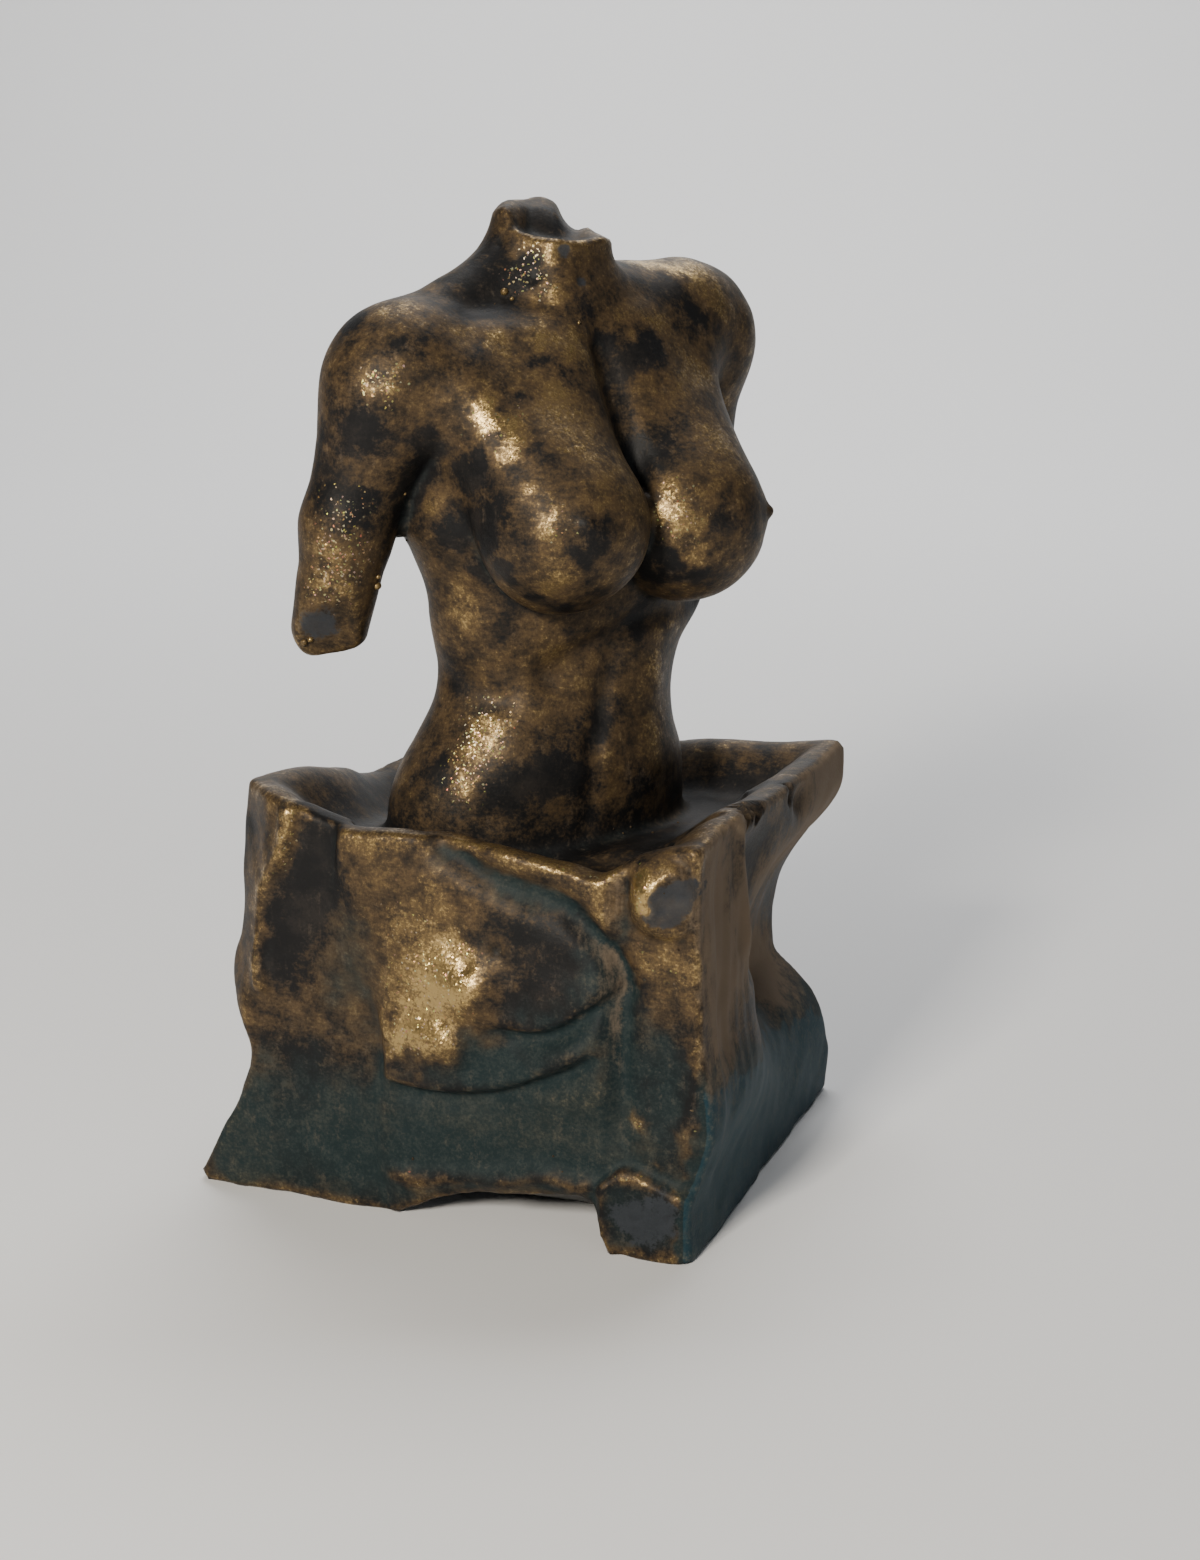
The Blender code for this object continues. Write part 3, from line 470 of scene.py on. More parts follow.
def figure(points):
    """Distance to the whole figure, in life centimetres, in its own frame."""
    form = union(trunk(points), neck(points), 2.0)
    for side in (-1, 1):
        lift = SHOULDER_LIFT[side]
        slope_start = (side * 1.5, 2.0, 46.0 - 0.9 * lift)
        slope = limb(points, slope_start, (side * 15.0, 2.0, 39.4 + 1.2 * lift), 3.4, 3.5)
        form = union(form, slope, 3.5)
        form = union(form, ellipsoid(points, (side * 8.5, 6.6, 31.5), (5.2, 3.6, 8.0)), 3.0)
        form = union(form, ellipsoid(points, (side * 5.6 - 1.2, 5.4, -3.0), (6.0, 6.4, 6.4)), 1.8)
        joined = 0.3 + 2.5 * steps_between(28.0, 37.0, points[:, 2])
        form = union(form, arm(points, side), joined)
        chest = limb(points, (side * 4.0, -3.0, 37.0), (side * 14.5, -0.6, 37.6 + lift), 4.4, 4.2)
        form = union(form, chest, 2.6)
    form = union(form, limb(points, (4.0, -1.0, 41.5), (16.0, 0.6, 42.2), 4.0, 4.0), 2.0)
    form = bust(points, form)
    for path in COLLAR_BONES:
        form = form + groove(points, path, 1.5, -0.25)
    for path, width, depth in BODY_CREASES:
        form = form + groove(points, path, width, depth)
    for centre, radius, height in BODY_SWELLINGS:
        form = form + swelling(points, centre, radius, height)
    for centre, radius, depth in DENTS:
        form = form + swelling(points, centre, radius, -depth)
    return common(form, points[:, 2] - neck_top(points), 0.35)


print("creases:", len(BODY_CREASES), "swellings:", len(BODY_SWELLINGS))

# %% [markdown]
# ## The block
#
# The block is nearly square in plan, but no side of it is flat. Each wall is a height over its face, in
# millimetres: its outline from the corner knots, plus a relief that stands out of it. The front carries
# a draped panel with two folds, a knob at the top right and a small foot below it. A large bite is
# broken out of the right rear corner.

# %% The block's outline
HALF_WIDTH = 43.0
HALF_DEPTH = 44.0
BASIN_DEPTH = 9.0
RIM_WIDTH = 17.0
EDGE_ROUND = 1.5
ARCH_REACH = 16.0
ARCH_LINE = [
    (-14, 0), (-10, 2.0), (-6.7, 4.0), (1.3, 6.5), (12, 8.2), (20, 9.4), (23.4, 9.5), (25.4, 7.2),
    (26.6, 3.8), (27.6, 0),
]
FRONT_LEFT_EDGE = [
    (0, 13.0), (11, 6.8), (19.5, 2.8), (27.5, 0.6), (33, 2.4), (39.5, 7.2), (50, 5.4), (56, 4.8),
    (62, 4.4), (69, 4.4), (75, 3.4),
]
BACK_LEFT_EDGE = [(0, 2.0), (22, -1.5), (45, 0.6), (64, -1.0), (75, 0.0)]
BACK_RIGHT_EDGE = [
    (0, -0.4), (16.5, -1.4), (22, -3.8), (25.5, -7.4), (29, -11.4), (33, -12.4), (41, -12.0), (50, -9.0),
    (55.5, -5.4), (60.5, -1.2), (65, 1.2), (75, 1.4),
]
FRONT_RIGHT_EDGE = [
    (0, 0.3), (12, 0.2), (17, 1.6), (22, 2.8), (29, 2.9), (36, 1.6), (52, 0.9), (71, 0.6), (75, 1.0),
]
CORNER_CUT = [(0, 0), (55, 0), (60, 0.6), (64, 1.8), (69, 3.2), (75, 4.0)]
FRONT_RIM = [
    (-43, 2.0), (-36, 1.4), (-28, -1.4), (-22, -2.8), (-10, -2.4), (0, -3.0), (11, -4.2), (20, -5.6),
    (26, -7.2), (32, -4.2), (38, -1.8), (43, 0.0),
]
LEFT_RIM = [(-44, 1.6), (-31, 1.2), (-22, 0.6), (-6, -2.8), (10, -7.5), (26, -6.0), (44, -3.0)]
BACK_RIM = [(-43, -3.0), (-30, -4.5), (-17, -5.5), (4, -4.0), (18, -1.8), (36, -1.4), (43, -0.4)]
TOE_REACH = 17.0
SIDE_HOLES = [(-12.0, 48.0), (-6.1, 41.6), (-4.5, 36.4), (6.7, 71.2)]
RIGHT_RIM = [(-44, 0.0), (-22, 0.8), (-4, -1.0), (18, -1.0), (36, -0.8), (44, -0.4)]


def window(values, low, high, soft):
    """1 between low and high, 0 outside, over a soft edge."""
    return steps_between(low - soft, low + soft, values) * steps_between(high + soft, high - soft, values)


def hump(across, up, centre, radii):
    """A soft round rise on a face, 1 at its centre."""
    return np.exp(-(((across - centre[0]) / radii[0]) ** 2) - ((up - centre[1]) / radii[1]) ** 2)


print("block", 2 * HALF_WIDTH, "by", 2 * HALF_DEPTH, "mm")

# %% [markdown]
# A fold of cloth is not a groove. It swells above its lower edge and is undercut below it, so it is made
# of both, with a short sharp lip between them.

# %% The relief on the walls


def seam(across, up, path, width, height):
    """A narrow roll of metal standing up along a path over a face."""
    flat = np.stack([across, up, np.zeros_like(across)], 1)
    return height * np.exp(-((path_distance(flat, [(*place, 0.0) for place in path]) / width) ** 2))


def fold(across, up, line, rise, drop):
    """A fold whose lower edge runs along a line: a swelling above it, an undercut below."""
    above = up - along(line, across)
    ends = window(across, line[0][0], line[-1][0], 4.5)
    over = rise * np.exp(-((above / 4.5) ** 2))
    under = -drop * np.exp(-((above / 3.2) ** 2))
    return ends * (under + (over - under) * steps_between(-1.1, 1.3, above))


def crease(across, up, line, width, depth):
    """A valley along a line over a face, negative so that it goes inwards."""
    away = up - along(line, across)
    return -depth * window(across, line[0][0], line[-1][0], 3.0) * np.exp(-((away / width) ** 2))


PANEL_LEFT = [
    (0, -14.3), (7, -15.6), (12, -17.0), (20, -16.6), (25, -15.4), (35.6, -15.3), (42, -16.2),
    (48, -18.5), (56, -22.0), (62, -23.4), (66, -23.7), (75, -22.4),
]
PANEL_EDGE_SOFTNESS = [
    (0, 2.4), (20, 1.8), (30, 1.3), (38, 1.7), (45, 4.5), (52, 6.0), (60, 3.0), (66, 1.4), (75, 1.0),
]
PANEL_BULGES = [
    ((3.6, 45.5), 9.0, 5.0, 6.4, 3.3), ((-2.4, 35.2), 8.0, 5.0, 4.5, 3.1), ((16, 47), 6.0, 8.0, 4.5, 1.2),
    ((-10, 50), 5.0, 5.0, 8.0, 0.7), ((18, 36.5), 6.0, 6.0, 3.4, 1.2),
]
PANEL_PITS = [(2.5, 50.7), (-2.1, 40.2), (7.5, 53.5), (-9.5, 44.0), (-14.0, 33.5)]
SWOOSH_LINE = [
    (-6, 72.5), (0, 69.6), (6, 66.4), (11, 64.8), (16, 63.8), (21, 61.6), (26, 57.0), (31, 50.0),
]
LOWER_FOLD = [
    (-14, 26.2), (-9, 25.6), (-4, 25.6), (1.6, 26.2), (7.4, 27.6), (13, 30), (19, 33), (25, 36.4),
]
UPPER_FOLD = [(8, 39.6), (12, 39.2), (16, 39.7), (20, 41.4), (24, 44.6), (29.8, 48.8)]
HEM_LINE = [(-16, 8.4), (-8.6, 8.2), (1.3, 10.0), (8, 10.6), (15, 12.4), (22, 11.9), (27, 12.4)]
LEFT_RIDGE = [
    (-33.4, 75), (-34.2, 68.3), (-36.6, 64.0), (-39.6, 61.3), (-41.2, 58.1), (-41.4, 46), (-40.4, 41),
]
FOOT_TOP = [(24, 10.0), (27, 13.6), (30.3, 16.0), (34.7, 15.0), (42, 12.8), (47, 12.4)]


def panel_relief(across, up):
    """The draped panel: raised from its left edge on, swollen in the middle, with folds below."""
    edge, soft = along(PANEL_LEFT, up), along(PANEL_EDGE_SOFTNESS, up)
    panel = steps_between(edge - soft, edge + soft, across) * steps_between(31.0, 26.0, across)
    relief = panel * (1.0 + 1.3 * steps_between(22.0, 30.0, up))
    for centre, left_reach, right_reach, height_reach, rise in PANEL_BULGES:
        reach = np.where(across < centre[0], left_reach, right_reach)
        relief += rise * hump(across, up, centre, (reach, height_reach))
    for place in PANEL_PITS:
        relief -= 1.4 * hump(across, up, place, (0.8, 0.8))
    relief += crease(across, up, SWOOSH_LINE, 3.3, 2.5)
    relief += fold(across, up, LOWER_FOLD, 1.2, 1.9) + fold(across, up, UPPER_FOLD, 1.0, 1.7)
    return relief


def corner_relief(across, up):
    """The knob at the top right, the sunk field below it, the foot, the hem and the left ridge."""
    knob_x, knob_z = (across - 37.0) / 6.0, (up - 65.4) / 7.2
    from_middle = (np.abs(knob_x) ** 2.8 + np.abs(knob_z) ** 2.2 + 1e-9) ** (1 / 2.5)
    dome = 4.2 * np.clip(1.0 - np.clip(from_middle, 0, 1) ** 2, 0, 1) ** 0.8
    worn_edge = 36.4 + 0.5 * np.sin(up * 1.3) + 0.08 * (up - 66)
    past_edge = np.clip(across - worn_edge, 0, None)
    worn = 3.7 - 0.34 * past_edge - 0.7 * steps_between(worn_edge, worn_edge + 1.0, across)
    relief = np.minimum(dome, worn)
    relief -= 1.0 * hump(across, up, (38.6, 29.0), (4.0, 9.0))
    relief -= 1.5 * hump(across, up, (29.5, 40), (2.6, 20)) * steps_between(16.0, 24.0, up)
    above_foot = up - along(FOOT_TOP, across)
    relief += 2.0 * steps_between(24.8, 27.2, across) * steps_between(1.2, -1.2, above_foot)
    relief += 1.5 * window(across, -15, 26, 3.0) * np.exp(-(((up - along(HEM_LINE, across)) / 1.9) ** 2))
    relief += seam(across, up, LEFT_RIDGE, 1.7, 1.9)
    return relief


def front_relief(across, up):
    """What stands out of the block's front."""
    return panel_relief(across, up) + corner_relief(across, up)


def right_relief(back, up):
    """What stands out of the block's right side: a thin ridge, the hollow behind it, and casting holes."""
    ridge_place = -24.5 + 0.22 * (75 - up)
    relief = 1.3 * np.exp(-(((back - ridge_place) / 1.9) ** 2)) * steps_between(44.0, 54.0, up)
    behind = steps_between(0.6, 4.2, back - ridge_place) * steps_between(26.0, 8.0, back - ridge_place)
    relief -= 3.6 * behind * window(up, 44.0, 68.0, 5.0) + 1.8 * hump(back, up, (13, 69), (4.4, 3.0))
    relief -= 0.8 * hump(back, up, (-33, 50), (4, 24)) - 0.7 * hump(back, up, (-38, 40), (2.5, 26))
    for place in SIDE_HOLES:
        relief -= 2.2 * hump(back, up, place, (1.1, 1.1))
    stripes = np.sin(back * 1.6 + 2 * np.sin(up / 17))
    relief -= 0.10 * stripes * window(back, -42, -18, 4.0) * window(up, 26, 70, 8.0)
    return relief


panel_middle = front_relief(np.array([3.0]), np.array([52.0]))
print("relief at the panel's middle:", round(float(panel_middle[0]), 2), "mm")

# %% [markdown]
# The walls, the uneven rim with its basin, and the low arch under the front edge come together here.
# The form goes on a little below the table, so that it can be cut off flat and crisp afterwards.

# %% The whole block
UNDER_CUT = 4.0


def block(points):
    """Distance to the broken block, in metres."""
    side, back, up = points[:, 0] / MM, points[:, 1] / MM, points[:, 2] / MM
    to_back = steps_between(-18.0, 20.0, back)
    to_back_left = steps_between(-8.0, 30.0, back)
    left_edge = along(FRONT_LEFT_EDGE, up) * (1 - to_back_left) + along(BACK_LEFT_EDGE, up) * to_back_left
    right_edge = along(FRONT_RIGHT_EDGE, up) * (1 - to_back) + along(BACK_RIGHT_EDGE, up) * to_back
    left_wall = -HALF_WIDTH - left_edge - 1.2 * np.sin(back / 7) * np.sin(up / 9) - side
    right_wall = side - HALF_WIDTH - right_edge - right_relief(back, up)
    front_wall = -HALF_DEPTH - 0.5 - front_relief(side, up) - back
    back_wall = back - HALF_DEPTH + 1.5 + 1.5 * np.sin(side / 11) * np.cos(up / 13)
    toe = TOE_REACH * steps_between(26, 4, up)
    chamfer = (-side - back - HALF_WIDTH - HALF_DEPTH) * math.sqrt(0.5) + 0.4 + np.sin(up / 7) - toe
    chamfer = chamfer + along(CORNER_CUT, up)
    across, through = common(left_wall, right_wall, EDGE_ROUND), common(front_wall, back_wall, EDGE_ROUND)
    walls = common(common(across, through, EDGE_ROUND), chamfer, EDGE_ROUND)
    in_turn = (front_wall, left_wall, back_wall, right_wall)
    closeness = [np.exp(np.clip(wall, -60, 0) / 7) for wall in in_turn]
    rims = [along(FRONT_RIM, side), along(LEFT_RIM, back), along(BACK_RIM, side), along(RIGHT_RIM, back)]
    rim = sum(near * height for near, height in zip(closeness, rims)) / sum(closeness)
    basin = steps_between(3.0, RIM_WIDTH, -walls)
    top = up - BLOCK_HEIGHT / MM - rim + BASIN_DEPTH * basin
    form = common(walls, top, EDGE_ROUND)
    inwards = (back + HALF_DEPTH) / ARCH_REACH
    arch = (up - along(ARCH_LINE, side) * np.clip(1.0 - inwards, 0.0, 1.0)) * 0.9
    form = common(form, -arch, 0.8)
    return common(form, -up - UNDER_CUT, 0.5) * MM


HAND_WAVES = [
    ((0.31, -0.13, 0.22), 0.3), ((-0.18, 0.34, 0.29), 1.9), ((0.24, 0.29, -0.36), 4.1),
    ((-0.53, -0.21, 0.42), 2.7), ((0.25, -0.48, 0.56), 5.2), ((0.71, 0.44, 0.17), 0.9),
]


def hand_work(points):
    """Unevenness left by modelling by hand, between about -1 and 1. points are in millimetres."""
    total = 0.0
    for number, (direction, phase) in enumerate(HAND_WAVES):
        total = total + np.sin(points @ np.array(direction) + phase + 1.7 * total) / (2.0 + 0.4 * number)
    return total


def to_figure(points):
    """Points of the object, in metres, as life centimetres in the figure's own frame."""
    from_axis = points - FIGURE_PLACE
    turned = steps_between(0.0, 22 * LIFE, from_axis[:, 2])
    turn = HIP_TURN + (CHEST_TURN - HIP_TURN) * turned
    own = np.empty_like(from_axis)
    own[:, 0] = from_axis[:, 0] * np.cos(turn) + from_axis[:, 1] * np.sin(turn)
    own[:, 1] = -from_axis[:, 0] * np.sin(turn) + from_axis[:, 1] * np.cos(turn)
    own[:, 2] = from_axis[:, 2]
    return own / LIFE


def casting(points):
    """Distance to the whole casting, in metres."""
    above_rim = points[:, 2] - BLOCK_HEIGHT
    whole = np.full(len(points), 10.0)
    low = above_rim < 14 * LIFE
    whole[low] = block(points[low])
    high = above_rim > -12 * LIFE
    whole[high] = union(whole[high], figure(to_figure(points[high])) * LIFE, JOIN_ROUND)
    roughness = 0.09 * MM + 0.08 * MM * steps_between(BLOCK_HEIGHT, BLOCK_HEIGHT - 8 * MM, points[:, 2])
    return whole + roughness * hand_work(points / MM)


print("middle of the block is", round(float(-casting(np.array([[0.0, 0.0, 0.03]]))[0]) * 1000), "mm deep")

# %% [markdown]
# ## Settling the skin
#
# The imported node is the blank. It is remeshed to even faces and each point is then moved down the slope
# of the distance until it lies on the form, while it keeps an even spacing to its neighbours. That is
# done twice, first coarsely, so that narrow gaps open, and then with faces under a millimetre wide.
# The result is cut off at the table.

# %% The skin
COARSE_VOXEL = 1.4 * MM
VOXEL = 0.94 * MM
PROBE = 0.04 * MM
LONGEST_MOVE = 2.5 * MM


def remeshed(data, voxel):
    """The same shape as one closed skin of even faces."""
    carrier = bpy.data.objects.new("blank", data)
    bpy.context.scene.collection.objects.link(carrier)
    remesh = carrier.modifiers.new("skin", "REMESH")
    remesh.mode = "VOXEL"
    remesh.voxel_size = voxel
    graph = bpy.context.evaluated_depsgraph_get()
    skin = bpy.data.meshes.new_from_object(carrier.evaluated_get(graph))
    bpy.data.objects.remove(carrier)
    return skin


class Skin:
    """The points and edges of a mesh as arrays, with the neighbour sums that smoothing needs."""

    def __init__(self, data):
        self.data = data
        self.count = len(data.vertices)
        places = np.empty(self.count * 3)
        data.vertices.foreach_get("co", places)
        self.places = places.reshape(-1, 3)
        edges = np.empty(len(data.edges) * 2, int)
        data.edges.foreach_get("vertices", edges)
        self.edges = edges.reshape(-1, 2)
        self.neighbours = np.bincount(edges, minlength=self.count)[:, None]

    def averaged(self, values):
        """Each point's mean of its neighbours' values, one column at a time."""
        total = np.empty_like(values)
        for column in range(values.shape[1]):
            total[:, column] = np.bincount(self.edges[:, 0], values[self.edges[:, 1], column], self.count)
            total[:, column] += np.bincount(self.edges[:, 1], values[self.edges[:, 0], column], self.count)
        return total / self.neighbours

    def write(self):
        """Puts the places back into the mesh."""
        self.data.vertices.foreach_set("co", self.places.ravel())
        self.data.update()


def slope_of(form, places, distance, probe):
    """The distance's slope at each place, from one probe along each axis."""
    return np.stack([(form(places + probe * axis) - distance) / probe for axis in np.eye(3)], 1)


def settle(data, form, rounds):
    """Moves every point of a mesh onto a form, evening the skin out between the moves."""
    skin = Skin(data)
    for turn in range(rounds):
        distance = form(skin.places)
        slope = slope_of(form, skin.places, distance, PROBE)
        steep = np.maximum((slope**2).sum(1, keepdims=True), 0.2)
        move = -distance[:, None] * slope / steep
        length = np.linalg.norm(move, axis=1, keepdims=True)
        skin.places = skin.places + move * np.minimum(1.0, LONGEST_MOVE / np.maximum(length, 1e-12))
        if turn < rounds - 1:
            keep = min(1.0, 0.5 * turn)
            for _ in range(2):
                drift = skin.averaged(skin.places) - skin.places
                normal = slope / np.sqrt(steep)
                outwards = (drift * normal).sum(1, keepdims=True) * normal
                skin.places = skin.places + 0.5 * (drift - keep * outwards)
    skin.write()
    return data


def cut_flat(data):
    """Cuts the skin off flat at the table and closes it there."""
    mesh = bmesh.new()
    mesh.from_mesh(data)
    whole = mesh.verts[:] + mesh.edges[:] + mesh.faces[:]
    cut = bmesh.ops.bisect_plane(
        mesh, geom=whole, dist=1e-6, plane_co=(0, 0, 0), plane_no=(0, 0, -1), clear_outer=True
    )["geom_cut"]
    rim = [item for item in cut if isinstance(item, bmesh.types.BMEdge)]
    bmesh.ops.edgenet_fill(mesh, edges=rim)
    bmesh.ops.triangulate(mesh, faces=mesh.faces[:])
    bmesh.ops.recalc_face_normals(mesh, faces=mesh.faces[:])
    mesh.to_mesh(data)
    mesh.free()
    data.validate()


def lengthened_blank():
    """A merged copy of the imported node's mesh, its foot drawn down below the table."""
    mesh = bmesh.new()
    mesh.from_mesh(bpy.data.objects[NODE].data)
    bmesh.ops.remove_doubles(mesh, verts=mesh.verts, dist=1e-6)
    for vertex in mesh.verts:
        if vertex.co.z < 1e-5:
            vertex.co.z = -UNDER_CUT * MM
    data = bpy.data.meshes.new("blank")
    mesh.to_mesh(data)
    mesh.free()
    return data


skin_mesh = lengthened_blank()
for voxel, rounds in ((COARSE_VOXEL, 4), (VOXEL, 5)):
    skin_mesh = remeshed(skin_mesh, voxel)
    settle(skin_mesh, casting, rounds)
cut_flat(skin_mesh)
print("skin triangles:", len(skin_mesh.polygons))

# %% Make it the piece that stands for the node
casting_object = bpy.data.objects.new("casting", skin_mesh)
bpy.context.scene.collection.objects.link(casting_object)
skin_mesh.shade_smooth()
print("piece:", casting_object.name, "stands for", NODE)

# %% [markdown]
# ## Where the finish is worn, where it is dirty, and where light and shade are painted
#
# The real finish was brushed on dark and then rubbed, so the bright metal shows where a cloth or a hand
# reaches and the dark stays in the hollows. How hollow a place is can be measured: the skin is smoothed
# a little, and a point that the smoothed skin lies above sits in a hollow.

# %% How hollow each point is


def normals_of(data):
    """Each point's outward direction."""
    normals = np.empty(len(data.vertices) * 3)
    data.vertex_normals.foreach_get("vector", normals)
    return normals.reshape(-1, 3)


def hollowness(data, rounds):
    """How far each point lies below the smoothed skin, in millimetres. Edges are negative."""
    skin = Skin(data)
    smoothed = skin.places.copy()
    for _ in range(rounds):
        smoothed = smoothed + 0.6 * (skin.averaged(smoothed) - smoothed)
    return ((smoothed - skin.places) * normals_of(data)).sum(1) / MM


def keep_attribute(data, name, values):
    """Stores one number for each point, for the material to read."""
    layer = data.attributes.new(name, "FLOAT", "POINT")
    layer.data.foreach_set("value", values.astype(np.float32))


FINE_ROUNDS = 5
BROAD_ROUNDS = 40
fine_hollow = hollowness(skin_mesh, FINE_ROUNDS)
broad_hollow = hollowness(skin_mesh, BROAD_ROUNDS)
print("hollows in mm, fine and broad:", fine_hollow.max().round(2), broad_hollow.max().round(2))

# %% [markdown]
# The rest of the pattern is one maker's handiwork, and no rule predicts it. It is laid on in named dabs,
# as the real patina was: bright rubs and dark stains on the figure, in life centimetres, and more of them
# on the block, in millimetres across its front or back along its right side, and up. Some rubs are partly
# painted highlight, where the light glints on the breasts, the hip and the block's panel, and some stains
# are painted shade, in the armpit, along the right breast's creases and shaded flank, in the recess left
# of the panel and in the cavity and holes on the right side. The right side is dusty above and green and
# blue below, partly green patina and partly a painted reflection of blue surroundings. The shader breaks
# up the dabs' edges later.

# %% Rubs and stains on the figure, with painted highlight and painted shade among them
FIGURE_RUBS_AND_HIGHLIGHTS = {
    "ridge of the neck": [
        (-3.4, -4.1, 46.8, 1.2, 0.9), (-3.9, -5.2, 43.8, 1.2, 0.8), (-4.6, -1.8, 48.0, 1.3, 0.6),
    ],
    "broken top of the neck": [(-1.0, 5.0, 51.8, 1.6, 0.7), (-0.5, -5.0, 48.6, 1.2, 0.4)],
    "collar bones": [
        (-13.4, -4.0, 41.2, 1.4, 0.6), (-9.8, -5.6, 40.3, 1.5, 0.8), (-6.1, -7.2, 40.2, 1.4, 0.9),
        (-2.5, -7.5, 40.2, 1.1, 0.8), (3.4, -6.4, 41.8, 1.2, 0.7), (7.5, -6.3, 41.1, 1.7, 0.8),
    ],
    "upper chest": [
        (-3.4, -8.6, 38.2, 2.6, 0.4), (-8.6, -10.6, 34.0, 3.0, 0.4), (-9.6, -8.2, 37.2, 1.6, 0.5),
        (-6.6, -10.0, 36.1, 1.5, 0.6), (11.1, -7.8, 36.5, 2.2, 0.4),
    ],
    "right shoulder": [(-18.0, -0.1, 42.9, 1.6, 0.6), (-20.6, -3.5, 36.8, 1.3, 0.8)],
    "left shoulder": [
        (11.0, -0.5, 46.3, 2.4, 1.0), (14.6, -2.1, 45.7, 2.2, 0.9), (17.0, -3.9, 43.0, 1.8, 0.8),
    ],
    "right stump": [(-22.9, 0.7, 22.3, 1.4, 0.6), (-23.1, 2.0, 18.8, 1.3, 0.7)],
    # partly painted highlight: the first two dabs follow the light's glint along the breast's crest, and the
    # one near the nipple its glint on the ball
    "right breast": [
        (-13.4, -8.3, 34.8, 1.8, 1.0), (-12.3, -10.2, 32.6, 1.9, 1.0), (-12.0, -13.2, 28.4, 1.6, 0.3),
        (-5.5, -14.1, 31.2, 3.0, 0.4), (-11.4, -16.0, 25.6, 1.2, 0.9), (-11.1, -15.3, 21.1, 1.5, 0.7),
        (-5.1, -17.5, 25.5, 1.6, 0.3),
    ],
    # partly painted highlight: the first three dabs sit where the light glints on the breast
    "left breast": [
        (1.4, -14.6, 26.0, 1.6, 0.9), (3.1, -16.3, 25.0, 1.8, 0.8), (3.8, -16.4, 21.5, 1.5, 0.8),
        (8.0, -13.6, 31.2, 3.0, 0.5), (9.0, -8.0, 37.5, 2.4, 0.4),
    ],
    "ribs": [
        (-14.9, -4.5, 29.3, 0.9, 0.8), (-14.2, -6.2, 27.2, 0.9, 0.8), (-15.1, -3.4, 26.2, 1.4, 0.5),
        (-12.6, -3.6, 16.4, 1.9, 0.5),
    ],
    "belly": [(-4.4, -7.5, 12.2, 2.0, 0.5), (5.8, -8.2, 11.0, 2.4, 0.6), (5.4, -9.1, 4.2, 2.4, 0.5)],
    # partly painted highlight: these dabs follow the band where the hip faces the light
    "hip": [(-10.4, -5.8, 6.4, 1.5, 0.9), (-11.9, -5.8, 4.0, 1.8, 0.9), (-13.5, -5.8, 0.9, 1.2, 0.8)],
}
